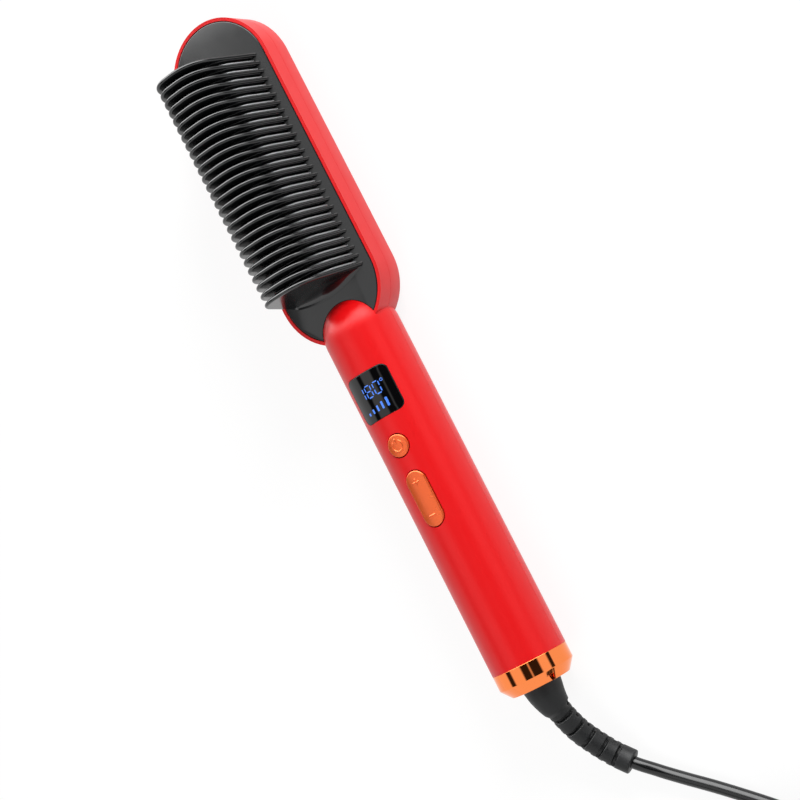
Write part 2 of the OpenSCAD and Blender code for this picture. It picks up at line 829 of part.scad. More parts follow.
// Leaf springs that stand on the rear shell and press on the slip rings
module contact_springs() {
    leaf_t = 0.6;
    foot_z = -sqrt(pow(bore_r, 2) - 4) + 0.15;
    leaf_top = -slip_ring_d / 2 - 0.15;
    color(BRASS) on_axis() for (y = slip_y) translate([0, y, 0]) {
        translate([-1, slip_w / 2, foot_z]) cube([2, leaf_t, leaf_top - foot_z]);
        translate([-2, 0, foot_z]) cube([4, slip_w, leaf_t]);
    }
}

// Two wires from the contact springs up to the board
module mains_leads() {
    wire_r = 0.7;
    foot_z = -sqrt(pow(bore_r, 2) - 4) + 1.6;
    top_z = board_z - seat_gap - wire_r;
    for (s = [0, 1]) color(s == 0 ? "#5a3a22" : "#2a5aa8") on_axis() translate([s * 7 - 3.5, 0, 0]) {
        y0 = slip_y[s] + slip_w / 2;
        y1 = stem_end_y + 3;
        translate([0, 0, foot_z]) rod(wire_r, y0, y1);
        translate([0, y1, foot_z]) sphere(r = wire_r);
        translate([0, y1, foot_z]) cylinder(r = wire_r, h = top_z - foot_z);
        translate([0, y1, top_z]) sphere(r = wire_r);
        translate([0, 0, top_z]) rod(wire_r, y1, board_y0 + 6);
    }
}

function unit(v) = v / norm(v);

// Direction of a path at its point i, with the ends' directions given
function heading(p, i, d0, d1) = i == 0 ? unit(d0) : i == len(p) - 1 ? unit(d1)
    : unit(unit(p[i + 1] - p[i]) + unit(p[i] - p[i - 1]));

// Points round c, square to t, at one radius or at a radius for each point
function ring(c, t, r, n) = let (s = unit(cross(t, [0, 0, 1])), u = cross(s, t))
    [for (k = [0:n - 1]) let (a = 360 * (k + 0.5) / n)
        c + (is_list(r) ? r[k] : r) * (cos(a) * s + sin(a) * u)];

// Tube of n sides along path, with a radius or a list of radii for each point
module tube(path, radii, n, d0, d1) {
    skin([for (i = [0:len(path) - 1]) ring(path[i], heading(path, i, d0, d1), radii[i], n)]);
}

// Solid through rings of points, in order, with its two ends closed
module skin(rings) {
    last = len(rings) - 1;
    n = len(rings[0]);
    points = [for (r = rings) each r];
    sides = [for (i = [0:last - 1], k = [0:n - 1]) let (a = i * n + k, b = i * n + (k + 1) % n)
        each [[a, a + n, b], [b, a + n, b + n]]];
    caps = [for (k = [1:n - 2]) each [[0, k, k + 1], [last * n, last * n + k + 1, last * n + k]]];
    polyhedron(points, concat(sides, caps));
}

function steady(path, r) = [for (p = path) r];

// Radii round a slotted section: the slots reach half degrees to each side of
// the direction turn and of the one opposite
function slotted(turn, half) = [for (k = [0:relief_sides - 1])
    let (a = 360 * (k + 0.5) / relief_sides - turn)
    relief_d / 2 - (acos(abs(cos(a))) < half ? relief_slot_depth : 0)];

// Sleeve round the lead: a cone, then blocks parted by slots that lie above
// and below by turns with those at the sides, and a collar at the end
module strain_relief() {
    last = len(relief_path) - 1;
    d0 = [0, -1, 0];
    d1 = relief_path[last] - relief_path[last - 1];
    reach_w = relief_slot_w / 2;
    path = concat(
        [for (i = [0:2]) relief_path[i]],
        [for (i = relief_slots, o = [-reach_w, slot_wall - reach_w, reach_w - slot_wall, reach_w])
            relief_path[i] + o * heading(relief_path, i, d0, d1)],
        [relief_path[last - 1], relief_path[last] - 0.6 * unit(d1), relief_path[last]]
    );
    cut = [slotted(0, 34), slotted(90, 72)];
    radii = concat(
        [relief_root_d / 2, (3 * relief_root_d + relief_cone_d) / 8, (relief_root_d + relief_cone_d) / 4],
        [for (i = relief_slots) each [i == 3 ? relief_cone_d / 2 : relief_d / 2,
            cut[(i + 1) % 2], cut[(i + 1) % 2], relief_d / 2]],
        [relief_d / 2, relief_d / 2, relief_d / 2 - 0.5]
    );
    color(BLACK) tube(path, radii, relief_sides, d0, d1);
}

// Centre of the coil's tube after t turns: it spirals in and out again by
// layers, and climbs a layer in the half turn about each reversal
function coil_point(t) = let (
    wave = t / layer_turns - 2 * floor(t / layer_turns / 2),
    inward = wave <= 1 ? wave : 2 - wave,
    r = coil_out_r - coil_step * layer_turns * inward,
    climb = [for (k = [1:coil_layers - 1]) min(1, max(0, 2 * (t - k * layer_turns) + 0.5))],
    a = coil_start - 360 * t,
    z = coil_floor + coil_rise * (climb * [for (c = climb) 1])
) [coil_center.x + r * cos(a), coil_center.y + r * sin(a), z];

coil_path = [for (i = [0:coil_turns * ring_count]) coil_point(i / ring_count)];
coil_d0 = coil_path[1] - coil_path[0];
coil_d1 = coil_path[len(coil_path) - 1] - coil_path[len(coil_path) - 2];
coil_in = coil_path[0] - unit(coil_d0) * cord_d;
coil_out = coil_path[len(coil_path) - 1] + unit(coil_d1) * cord_d;
coil_gap = min([for (i = [0:len(coil_path) - 1 - ring_count / 2], j = [i + ring_count / 2:len(coil_path) - 1])
    norm(coil_path[i] - coil_path[j])]) - cord_d;
echo(coil_least_gap = coil_gap);

module cord_lead() {
    path = concat(lead_route, [coil_in]);
    last = len(relief_path) - 1;
    d0 = relief_path[last] - relief_path[last - 1];
    color(BLACK) tube(path, steady(path, cord_r), 12, d0, coil_d0);
}

module cord_coil() {
    path = concat([coil_in], coil_path, [coil_out]);
    color(BLACK) tube(path, steady(path, cord_r), 6, coil_d0, coil_d1);
}

module cord_tail() {
    path = concat([coil_out], tail_route);
    color(BLACK) tube(path, steady(path, cord_r), 12, coil_d1, [-1, 0, 0]);
}

// Strap round the section of the coil, opposite the lead
module cord_tie() {
    tie_w = 8;
    pad = 0.5;
    w = coil_step * layer_turns + cord_d + 2 * pad;
    h = coil_top + cord_r + pad - tie_t;
    color("#1c1c1e") translate([coil_center.x, coil_center.y, 0]) rotate([0, 0, coil_start + 150]) {
        translate([coil_mean_d / 2, 0, tie_t + h / 2]) rotate([90, 0, 0]) {
            linear_extrude(tie_w, center = true) difference() {
                round_rect_2d(w + 2 * tie_t, h + 2 * tie_t, 2);
                round_rect_2d(w, h, 1.6);
            }
        }
    }
}

// Plug, drawn with its cable end at the origin and its pins along -X
module at_plug() {
    translate(plug_at) children();
}

module plug_body() {
    body_x = -plug_neck_l;
    color(BLACK) at_plug() {
        rotate([0, -90, 0]) cylinder(d1 = plug_neck_d, d2 = plug_neck_d + 3, h = plug_neck_l + 1);
        intersection() {
            translate([0, 0, -plug_t / 2]) linear_extrude(plug_t) polygon([
                [body_x, plug_rear_w / 2], [body_x - 2, plug_rear_w / 2 + 2], [body_x - 12, plug_face_w / 2 - 4],
                [body_x - 20, plug_face_w / 2 - 1], [body_x - plug_l + 1, plug_face_w / 2],
                [body_x - plug_l, plug_face_w / 2 - 1], [body_x - plug_l, 1 - plug_face_w / 2],
                [body_x - plug_l + 1, -plug_face_w / 2], [body_x - 20, 1 - plug_face_w / 2],
                [body_x - 12, 4 - plug_face_w / 2], [body_x - 2, -plug_rear_w / 2 - 2], [body_x, -plug_rear_w / 2]
            ]);
            rotate([90, 0, 0]) linear_extrude(2 * plug_face_w, center = true) polygon([
                [body_x, 4.6], [body_x - 8, plug_t / 2 - 0.4], [body_x - plug_l + 1, plug_t / 2],
                [body_x - plug_l, plug_t / 2 - 1], [body_x - plug_l, 1 - plug_t / 2],
                [body_x - plug_l + 1, -plug_t / 2], [body_x - 8, 0.4 - plug_t / 2], [body_x, -4.6]
            ]);
        }
    }
}

module pins(r, x0, x1) {
    for (s = [-1, 1]) translate([x0, s * pin_spacing / 2, 0]) rotate([0, -90, 0]) cylinder(r = r, h = x0 - x1);
}

module plug_pins() {
    tip_x = plug_face_x - pin_l + pin_tip_l;
    color(STEEL) at_plug() {
        pins(pin_core_r, plug_face_x, plug_face_x - sleeve_l);
        pins(pin_d / 2, plug_face_x - sleeve_l, tip_x);
        for (s = [-1, 1]) translate([tip_x, s * pin_spacing / 2, 0]) {
            rotate([0, -90, 0]) cylinder(r1 = pin_d / 2, r2 = pin_d / 2 - pin_tip_l, h = pin_tip_l);
        }
    }
}

// Insulation round the root of each pin, a little thinner than the pin
module pin_sleeves() {
    color(BLACK) at_plug() difference() {
        pins(sleeve_r, plug_face_x, plug_face_x - sleeve_l);
        pins(pin_core_r, plug_face_x + 1, plug_face_x - sleeve_l - 1);
    }
}

front_shell();
rear_shell();
comb_guard();
heating_comb();
ptc_heaters();
mica_sheet();
heater_clamp();
heater_screws();
thermal_fuse();
temperature_sensor();
heater_leads();
display_window();
display_module();
control_board();
tactile_switches();
mains_capacitor();
triac();
power_button();
temperature_rocker();
shell_screws();
end_cap();
swivel_socket();
swivel_stem();
slip_rings();
contact_springs();
mains_leads();
strain_relief();
cord_lead();
cord_coil();
cord_tail();
cord_tie();
plug_body();
plug_pins();
pin_sleeves();
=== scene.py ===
"""Heated comb brush for straightening hair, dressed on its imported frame.

The brush lies on its back: +Y runs to the tip of the head, +Z stands up along
the fins and +X is the comb's long sloping side. Heights that are called above
the axis are measured from the axis of the round handle. Points are worked out
in millimetres and put into the meshes in metres.
"""

import json
import logging
import math
from dataclasses import dataclass, field
from enum import Enum
from functools import cache, reduce
from typing import Any

import bmesh
import bpy
import numpy as np
from bpy.types import NodeSocket as Socket, NodeTree as Tree, Object as Piece
from mathutils import Matrix, Vector


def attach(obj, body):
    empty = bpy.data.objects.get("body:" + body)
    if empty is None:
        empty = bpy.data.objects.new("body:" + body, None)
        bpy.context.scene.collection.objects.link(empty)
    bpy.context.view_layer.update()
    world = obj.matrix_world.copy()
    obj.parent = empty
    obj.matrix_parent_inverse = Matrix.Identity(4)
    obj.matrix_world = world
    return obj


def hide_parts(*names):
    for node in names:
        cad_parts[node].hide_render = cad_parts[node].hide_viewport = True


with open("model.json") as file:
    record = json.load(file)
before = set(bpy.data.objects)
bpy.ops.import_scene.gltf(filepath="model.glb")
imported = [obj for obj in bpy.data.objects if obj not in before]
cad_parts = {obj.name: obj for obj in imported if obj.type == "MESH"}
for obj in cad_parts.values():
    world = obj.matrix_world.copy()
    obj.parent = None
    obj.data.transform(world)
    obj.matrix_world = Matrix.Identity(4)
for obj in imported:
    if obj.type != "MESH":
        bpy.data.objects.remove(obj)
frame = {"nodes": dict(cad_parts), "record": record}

LOG = logging.getLogger("comb_brush")
MM = 0.001
# The handle's end, where the strain relief starts, and the height of its axis
TAIL_Y = -221.0
AXIS_Z = 15.6
# Distances at which loose points of a mesh are one point, in metres
SAME_DRAWN, SAME_PACKED = 1e-7, 2e-6


def linear(colour: str) -> tuple[float, float, float, float]:
    """Turns an sRGB hex colour into Blender's linear colour.

    Args:
        colour: six hex digits after a #.

    Returns:
        Red, green, blue and an alpha of 1.
    """
    parts = [int(colour[i:i + 2], 16) / 255 for i in (1, 3, 5)]
    r, g, b = (c / 12.92 if c <= 0.04045 else ((c + 0.055) / 1.055) ** 2.4 for c in parts)
    return r, g, b, 1.0


def add_node(tree: Tree, kind: str, inputs: dict[Any, Any] | None = None,
             **settings: Any) -> bpy.types.Node:
    """Adds a node with its settings and links.

    Args:
        tree: the node tree that gets it.
        kind: Blender's name for the node type.
        inputs: a value or an output socket for each named or numbered input.
        settings: the node's own properties.

    Returns:
        The new node.
    """
    node = tree.nodes.new(kind)
    for name, value in settings.items():
        setattr(node, name, value)
    for key, value in (inputs or {}).items():
        if isinstance(value, Socket):
            tree.links.new(value, node.inputs[key])
        else:
            node.inputs[key].default_value = value
    return node


def fresh_tree(owner: Any) -> Tree:
    """Empties the node tree of a new material or world.

    Args:
        owner: the material or the world.

    Returns:
        Its tree.
    """
    owner.use_nodes = True
    owner.node_tree.nodes.clear()
    return owner.node_tree


def calc(tree: Tree, operation: str, *values: Any, clamp: bool = False) -> Socket:
    """Adds a sum.

    Args:
        tree: the node tree that gets it.
        operation: Blender's name for the sum.
        values: its numbers or sockets.
        clamp: whether the result is kept between 0 and 1.

    Returns:
        The socket of the result.
    """
    return add_node(tree, "ShaderNodeMath", dict(enumerate(values)), operation=operation,
                    use_clamp=clamp).outputs["Value"]


def remap(tree: Tree, value: Socket, low: float, high: float,
          at_low: float = 0.0, at_high: float = 1.0) -> Socket:
    """Turns the range from low to high into the one from at_low to at_high, and holds its ends.

    Args:
        tree: the node tree that gets it.
        value: the socket of the value.
        low: where the range starts.
        high: where it ends.
        at_low: the result at its start.
        at_high: the result at its end.

    Returns:
        The socket of the result.
    """
    return add_node(tree, "ShaderNodeMapRange", {
        "Value": value, "From Min": low, "From Max": high,
        "To Min": at_low, "To Max": at_high}).outputs["Result"]


def noise(tree: Tree, place: Socket, size_mm: float, detail: float = 2.0,
          roughness: float = 0.5) -> Socket:
    """Adds a noise whose largest patches are about as wide as a size.

    Args:
        tree: the node tree that gets it.
        place: the socket of the coordinates.
        size_mm: the size in millimetres.
        detail: how many finer layers it has.
        roughness: how strong the finer layers are.

    Returns:
        The socket of its value.
    """
    return add_node(tree, "ShaderNodeTexNoise", {
        "Vector": place, "Scale": 1 / (size_mm * MM), "Detail": detail,
        "Roughness": roughness}).outputs["Fac"]


def shaded(tree: Tree, share: Socket, colour: str,
           shade: float) -> Socket:
    """Mixes a colour with a darker one of the same hue.

    Args:
        tree: the node tree that gets it.
        share: the socket of the darker colour's share.
        colour: six hex digits after a #.
        shade: how much darker the second colour is.

    Returns:
        The socket of the mixture.
    """
    full = linear(colour)
    dark = tuple(c * (1 - shade) for c in full[:3]) + (1.0,)
    return add_node(tree, "ShaderNodeMix", {"Factor": share, 6: full, 7: dark},
                    data_type="RGBA").outputs[2]


@dataclass(frozen=True)
class Finish:
    """A surface, named for its material and the way it was made.

    The grain is a noise as fine as grain_mm that lifts the surface by
    grain_depth_mm. A broad noise varies the roughness by mottle and darkens
    the colour by shade. Fine scuffs, as long as scuff_mm, polish the surface
    by scuff.
    """

    name: str
    colour: str
    roughness: float
    metallic: float = 0.0
    ior: float = 1.5
    coat: float = 0.0
    coat_roughness: float = 0.1
    grain_mm: float = 0.4
    grain_depth_mm: float = 0.01
    mottle: float = 0.03
    mottle_mm: float = 9.0
    shade: float = 0.04
    scuff: float = 0.0
    scuff_mm: float = 6.0

    def make(self) -> bpy.types.Material:
        """Builds the material's nodes on Object coordinates.

        Returns:
            The material.
        """
        material = bpy.data.materials.new(self.name)
        tree = fresh_tree(material)
        place = add_node(tree, "ShaderNodeTexCoord").outputs["Object"]
        broad = noise(tree, place, self.mottle_mm, 3.0, 0.6)
        sheen = remap(tree, broad, 0.3, 0.7, max(0.0, self.roughness - self.mottle),
                      self.roughness + self.mottle)
        if self.scuff:
            drawn_out = add_node(tree, "ShaderNodeMapping", {
                "Vector": place, "Rotation": (0.4, 0.2, 0.7), "Scale": (1.0, 14.0, 14.0)})
            marks = noise(tree, drawn_out.outputs["Vector"], self.scuff_mm, 3.0)
            worn = remap(tree, marks, 0.56, 0.72, 0.0, self.scuff)
            sheen = calc(tree, "SUBTRACT", sheen, worn, clamp=True)
        bump = add_node(tree, "ShaderNodeBump", {
            "Height": noise(tree, place, self.grain_mm), "Strength": 0.6,
            "Distance": self.grain_depth_mm * MM})
        shader = add_node(tree, "ShaderNodeBsdfPrincipled", {
            "Base Color": shaded(tree, broad, self.colour, self.shade), "Roughness": sheen,
            "Metallic": self.metallic, "IOR": self.ior, "Coat Weight": self.coat,
            "Coat Roughness": self.coat_roughness, "Normal": bump.outputs["Normal"]})
        add_node(tree, "ShaderNodeOutputMaterial", {"Surface": shader.outputs["BSDF"]})
        return material


@dataclass(frozen=True)
class Glow:
    """Light that shines through a printed mask, a little uneven over its bars."""

    name: str
    colour: str
    strength: float
    unlit: str = "#0a1020"
    patch_mm: float = 1.6
    shade: float = 0.2

    def make(self) -> bpy.types.Material:
        """Builds the glowing material.

        Returns:
            The material.
        """
        material = bpy.data.materials.new(self.name)
        tree = fresh_tree(material)
        place = add_node(tree, "ShaderNodeTexCoord").outputs["Object"]
        glow = shaded(tree, noise(tree, place, self.patch_mm), self.colour, self.shade)
        shader = add_node(tree, "ShaderNodeBsdfPrincipled", {
            "Base Color": linear(self.unlit), "Roughness": 0.25, "Emission Color": glow,
            "Emission Strength": self.strength})
        add_node(tree, "ShaderNodeOutputMaterial", {"Surface": shader.outputs["BSDF"]})
        return material


class Look(Enum):
    """The finishes of the brush, each by the slot of the record that it serves."""

    # ABS under a soft-touch lacquer: a wide soft sheen over a strong colour
    red_soft_touch = Finish("soft_touch_lacquered_abs", "#e2090f", 0.36, ior=1.46,
                            grain_mm=0.35, grain_depth_mm=0.005, mottle=0.03, shade=0.04)
    # Glass-filled nylon that stands the heat: a satin black that takes edge light
    black_nylon = Finish("moulded_heat_proof_nylon", "#131415", 0.17, ior=1.58, grain_mm=0.3,
                         grain_depth_mm=0.001, mottle=0.02, scuff=0.02)
    # Die-cast aluminium with polished noses: bright where light gets in
    anodised_aluminium = Finish("die_cast_aluminium", "#d6d8da", 0.34, metallic=0.55,
                                grain_mm=0.5, grain_depth_mm=0.004, mottle=0.08)
    # Sintered ceramic heaters: chalky and pale
    heater_ceramic = Finish("sintered_heater_ceramic", "#e6dcc4", 0.8, grain_mm=0.2)
    # Mica: a brown flaky sheet
    mica = Finish("mica_sheet", "#c2ad74", 0.4, mottle=0.12, shade=0.3, mottle_mm=4.0)
    # Zinc-plated spring steel: bright with faint marks
    spring_steel = Finish("zinc_plated_steel", "#c3c5c9", 0.3, metallic=1.0, mottle=0.08, scuff=0.1)
    # Epoxy dip on the sensor
    brown_epoxy = Finish("dipped_epoxy", "#6e3f1c", 0.25)
    # Extruded insulation of the inner wires
    wire_insulation = Finish("extruded_wire_insulation", "#a03a2c", 0.45)
    # Smoked acrylic: a polished black that mirrors the studio
    smoked_acrylic = Finish("polished_smoked_acrylic", "#050506", 0.06, ior=1.49, grain_mm=3.0,
                            grain_depth_mm=0.001, mottle=0.01)
    # Solder mask over the board's copper
    circuit_board = Finish("solder_masked_board", "#1d6b43", 0.3, grain_mm=1.2, shade=0.3)
    # Moulded polyester case of the capacitor
    yellow_polyester = Finish("moulded_polyester_case", "#d8a91f", 0.35)
    # Buttons: plastic under a metallic copper lacquer, satin with bright edges
    copper_lacquer = Finish("copper_lacquered_abs", "#f0662e", 0.27, metallic=0.7, coat=0.3,
                            coat_roughness=0.1, grain_mm=0.25, grain_depth_mm=0.001, mottle=0.03)
    # End cap: vacuum plated in copper over a polished moulding, a near mirror
    copper_plate = Finish("polished_copper_plating", "#fa8a4c", 0.06, metallic=1.0,
                          grain_mm=2.5, grain_depth_mm=0.0002, mottle=0.02, shade=0.03)
    # Contacts of drawn brass
    contact_brass = Finish("drawn_brass", "#d3ab58", 0.28, metallic=1.0)
    # Moulded rubber of the strain relief: matt, with a soft bloom
    black_rubber = Finish("moulded_black_rubber", "#131415", 0.5, ior=1.42, grain_mm=0.3,
                          grain_depth_mm=0.02, mottle=0.07, shade=0.15)
    # Extruded PVC sheath: satin black
    black_pvc = Finish("extruded_pvc_sheath", "#0f1011", 0.2, grain_mm=0.8,
                       grain_depth_mm=0.001, mottle=0.03, scuff=0.04)
    # Nickel-plated plug pins
    nickel_pins = Finish("nickel_plated_brass", "#d2cfc8", 0.18, metallic=1.0, scuff=0.08)


class DisplayInk(Enum):
    """What the display's mask lets through."""

    # Light-emitting segments behind smoked acrylic: a clear cool blue
    lit_blue = Glow("blue_lit_segments", "#4f8bff", 1.15)


@cache
def painted(kind: Look | DisplayInk) -> bpy.types.Material:
    """Makes a finish the first time that it is asked for.

    Args:
        kind: the finish or the ink.

    Returns:
        Its material.
    """
    return kind.value.make()


class Draft:
    """Gathers grids of points into one mesh."""

    def __init__(self) -> None:
        """Starts empty."""
        self._points: list[np.ndarray] = []
        self._faces: list[list[int]] = []
        self._count = 0

    def grid(self, points: np.ndarray, wrap_rows: bool = False, wrap_cols: bool = True,
             caps: bool = True) -> None:
        """Adds a grid of points.

        Face (i, j) joins rows i and i + 1 to columns j and j + 1, and the
        wraps join the last row or column to the first. The caps close the two
        end rows.

        Args:
            points: an array of rows x columns x 3, in millimetres.
            wrap_rows: whether the rows close on themselves.
            wrap_cols: whether the columns close on themselves.
            caps: whether the first and last rows are filled.
        """
        rows, cols = points.shape[:2]
        i = np.arange(rows if wrap_rows else rows - 1)[:, None]
        j = np.arange(cols if wrap_cols else cols - 1)[None, :]
        i1, j1 = (i + 1) % rows, (j + 1) % cols
        quads = np.stack([i * cols + j, i * cols + j1, i1 * cols + j1, i1 * cols + j], -1)
        faces = (quads.reshape(-1, 4) + self._count).tolist()
        if caps and not wrap_rows:
            ends = np.array([np.arange(cols)[::-1], np.arange((rows - 1) * cols, rows * cols)])
            faces += (ends + self._count).tolist()
        self._faces += faces
        self._points.append(points.reshape(-1, 3))
        self._count += rows * cols

    def sheet(self, points: np.ndarray) -> None:
        """Adds an open grid of points, such as a raised mark.

        Args:
            points: an array of rows x columns x 3, in millimetres.
        """
        self.grid(points, wrap_cols=False, caps=False)

    def build(self, name: str, sharp: float = 35.0) -> Piece:
        """Makes the object.

        Args:
            name: the object's name.
            sharp: the angle in degrees above which an edge stays sharp.

        Returns:
            The object, at the origin, with its faces outward.
        """
        mesh = bpy.data.meshes.new(name)
        mesh.from_pydata((np.vstack(self._points) * MM).tolist(), [], self._faces)
        shell = bmesh.new()
        shell.from_mesh(mesh)
        bmesh.ops.remove_doubles(shell, verts=shell.verts, dist=SAME_DRAWN)
        bmesh.ops.recalc_face_normals(shell, faces=shell.faces)
        soften(shell, sharp)
        shell.to_mesh(mesh)
        shell.free()
        return linked(name, mesh)

    def finish(self, slot: str, *nodes: str, name: str = "",
               sharp: float = 35.0) -> Piece:
        """Makes the object and lets it stand for nodes of the frame.

        Args:
            slot: the record's slot for its finish.
            nodes: the nodes that it replaces.
            name: its name, or nothing where it is named after the first node.
            sharp: the angle in degrees above which an edge stays sharp.

        Returns:
            The object.
        """
        piece = self.build(name or nodes[0] + "_finished", sharp)
        settle(piece, slot, *nodes)
        return piece


def linked(name: str, data: Any) -> Piece:
    """Makes an object of some data and puts it in the scene.

    Args:
        name: the object's name.
        data: its mesh, camera or lamp.

    Returns:
        The object.
    """
    thing = bpy.data.objects.new(name, data)
    bpy.context.scene.collection.objects.link(thing)
    return thing


def soften(shell: bmesh.types.BMesh, sharp: float) -> None:
    """Shades faces smoothly and keeps the edges sharp that turn by more than an angle.

    Args:
        shell: the mesh.
        sharp: the angle in degrees.
    """
    limit = math.radians(sharp)
    for face in shell.faces:
        face.smooth = True
    for edge in shell.edges:
        edge.smooth = len(edge.link_faces) == 2 and edge.calc_face_angle(math.pi) < limit


def smooth_path(points: np.ndarray, per_span: int) -> np.ndarray:
    """Runs a smooth curve through points.

    Each span is the cubic whose slope at a point is half of the step between
    its two neighbours, which is the Catmull-Rom curve.

    Args:
        points: an array of n x 3.
        per_span: samples for each span.

    Returns:
        The samples, with the last point.
    """
    padded = np.vstack([2 * points[0] - points[1], points, 2 * points[-1] - points[-2]])
    t = (np.arange(per_span) / per_span)[None, :, None]
    p0, p1, p2, p3 = (padded[k:k + len(points) - 1, None, :] for k in range(4))
    curve = 0.5 * (2 * p1 + (p2 - p0) * t + (2 * p0 - 5 * p1 + 4 * p2 - p3) * t ** 2
                   + (3 * p1 - p0 - 3 * p2 + p3) * t ** 3)
    return np.vstack([curve.reshape(-1, 3), points[-1:]])


def tube_grid(path: np.ndarray, radii: np.ndarray, sides: int) -> np.ndarray:
    """Sweeps a circle along a path that never stands upright.

    The circle at a sample lies in the plane of the side vector s, which is
    the tangent crossed with Z, and of s crossed with the tangent.

    Args:
        path: n x 3 samples.
        radii: n radii, or n x sides radii.
        sides: points round the circle.

    Returns:
        An array of n x sides x 3.
    """
    tangent = np.gradient(path, axis=0)
    tangent /= np.linalg.norm(tangent, axis=1, keepdims=True)
    side = np.cross(tangent, [0.0, 0.0, 1.0])
    side /= np.linalg.norm(side, axis=1, keepdims=True)
    other = np.cross(side, tangent)
    a = (2 * np.pi * (np.arange(sides) + 0.5) / sides)[None, :, None]
    reach = radii[:, None, None] if radii.ndim == 1 else radii[:, :, None]
    return path[:, None, :] + reach * (np.cos(a) * side[:, None, :] + np.sin(a) * other[:, None, :])


def inset(outline: np.ndarray, depth: np.ndarray) -> np.ndarray:
    """Moves a closed outline inward, square to itself.

    Args:
        outline: n x 2 points, counterclockwise.
        depth: how far each of the m new rows moves.

    Returns:
        An array of m x n x 2.
    """
    step = np.roll(outline, -1, axis=0) - np.roll(outline, 1, axis=0)
    step /= np.linalg.norm(step, axis=1, keepdims=True)
    inward = np.stack([-step[:, 1], step[:, 0]], -1)
    return outline[None] + depth[:, None, None] * inward[None]


def circle(radius: float, angles: np.ndarray) -> np.ndarray:
    """Gives points of a circle about the origin.

    Args:
        radius: the circle's radius.
        angles: their angles from X, in radians.

    Returns:
        An array of the angles' shape x 2.
    """
    return radius * np.stack([np.cos(angles), np.sin(angles)], -1)


def stadium(radius: float, span: float, per_end: int) -> np.ndarray:
    """Gives the outline of a slot along Y: two half circles joined by straights.

    Args:
        radius: the radius of the ends.
        span: the distance between their centres.
        per_end: points on each half circle.

    Returns:
        n x 2 points, counterclockwise.
    """
    end = circle(radius, np.linspace(0, np.pi, per_end))
    side = np.linspace(span / 2, -span / 2, 14)[1:-1]
    left = np.stack([np.full(len(side), -radius), side], -1)
    return np.vstack([end + [0, span / 2], left, -end - [0, span / 2], -left])


def round_rectangle(width: float, length: float, radius: float, per_corner: int = 10) -> np.ndarray:
    """Gives the outline of a rectangle with round corners, counterclockwise.

    Args:
        width: its size in X.
        length: its size in Y.
        radius: the radius of its corners.
        per_corner: points on each corner.

    Returns:
        n x 2 points.
    """
    a = np.radians(90.0 * np.arange(4)[:, None] + np.linspace(0, 90, per_corner)[None, :])
    x = np.array([1, -1, -1, 1])[:, None] * (width / 2 - radius) + radius * np.cos(a)
    y = np.array([1, 1, -1, -1])[:, None] * (length / 2 - radius) + radius * np.sin(a)
    corners = np.stack([x, y], -1)
    share = np.linspace(0, 1, 18)[1:-1, None]
    after = np.roll(corners, -1, axis=0)
    straights = [p[-1] + share * (q[0] - p[-1]) for p, q in zip(corners, after)]
    return np.vstack([np.vstack(pair) for pair in zip(corners, straights)])


@dataclass
class CrownedKey:
    """A key or pane whose face is a little crowned and whose rim is rounded.

    Its face is part of a cylinder of radius bend along the handle, whose
    highest line stands crown over the handle's axis. At x the face lies lower
    by bend less the root of bend squared less x squared.
    """

    outline: np.ndarray
    center_y: float
    crown: float
    bend: float
    fillet: float
    skirt_z: float
    rings: int = 8
    mark_taper: float = 0.6
    mark_sunk: float = 0.05

    def face(self, xy: np.ndarray) -> np.ndarray:
        """Lifts points of the plan onto the face.

        Args:
            xy: an array whose last axis holds x and y about the key's middle.

        Returns:
            The same points in space.
        """
        x, y = xy[..., 0], xy[..., 1]
        z = AXIS_Z + self.crown - self.bend + np.sqrt(self.bend ** 2 - x ** 2)
        return np.stack([x, y + self.center_y, z], -1)

    def grid(self) -> np.ndarray:
        """Runs the section from the middle of the face over the rim and down the skirt.

        Rows shrink the outline towards its middle line, then follow a quarter
        circle of the fillet's radius, then drop straight down.

        Returns:
            An array of rows x points x 3.
        """
        rim = inset(self.outline, np.array([self.fillet]))[0]
        half = self._half_straight()
        spine = np.stack([np.zeros(len(rim)), np.clip(rim[:, 1], -half, half)], -1)
        share = np.concatenate([np.linspace(0.02, 0.94, self.rings), [0.985, 1.0]])[:, None, None]
        face = self.face(spine[None] + share * (rim - spine)[None])
        a = np.radians(np.linspace(15, 90, 6))
        edge = self.face(inset(self.outline, self.fillet * (1 - np.sin(a))))
        edge[..., 2] -= self.fillet * (1 - np.cos(a))[:, None]
        skirt = edge[-1:].copy()
        skirt[..., 2] = self.skirt_z
        return np.concatenate([face, edge, skirt])

    def _half_straight(self) -> float:
        """Gives half of the straight part of the outline."""
        size = self.outline.max(axis=0)
        return max(0.0, float(size[1] - size[0]))

    def mark(self, path: np.ndarray, width: float, height: float) -> np.ndarray:
        """Lays a raised line with a round top on the face.

        The section across the line is an arc from its left foot to its right
        foot, as high as height.

        Args:
            path: n x 2 points of the line, about the key's middle.
            width: the line's width.
            height: how far it stands up.

        Returns:
            An array of n x 7 x 3, whose ends are tapered.
        """
        step = np.gradient(path, axis=0)
        step /= np.linalg.norm(step, axis=1, keepdims=True)
        across = np.stack([-step[:, 1], step[:, 0]], -1)
        a = np.linspace(0, np.pi, 7)
        end = np.ones(len(path))
        end[[0, -1]] = self.mark_taper
        offset = (width / 2 * end)[:, None] * np.cos(a)[None]
        points = self.face(path[:, None, :] + offset[..., None] * across[:, None, :])
        points[..., 2] += height * end[:, None] * np.sin(a)[None] - self.mark_sunk
        return points


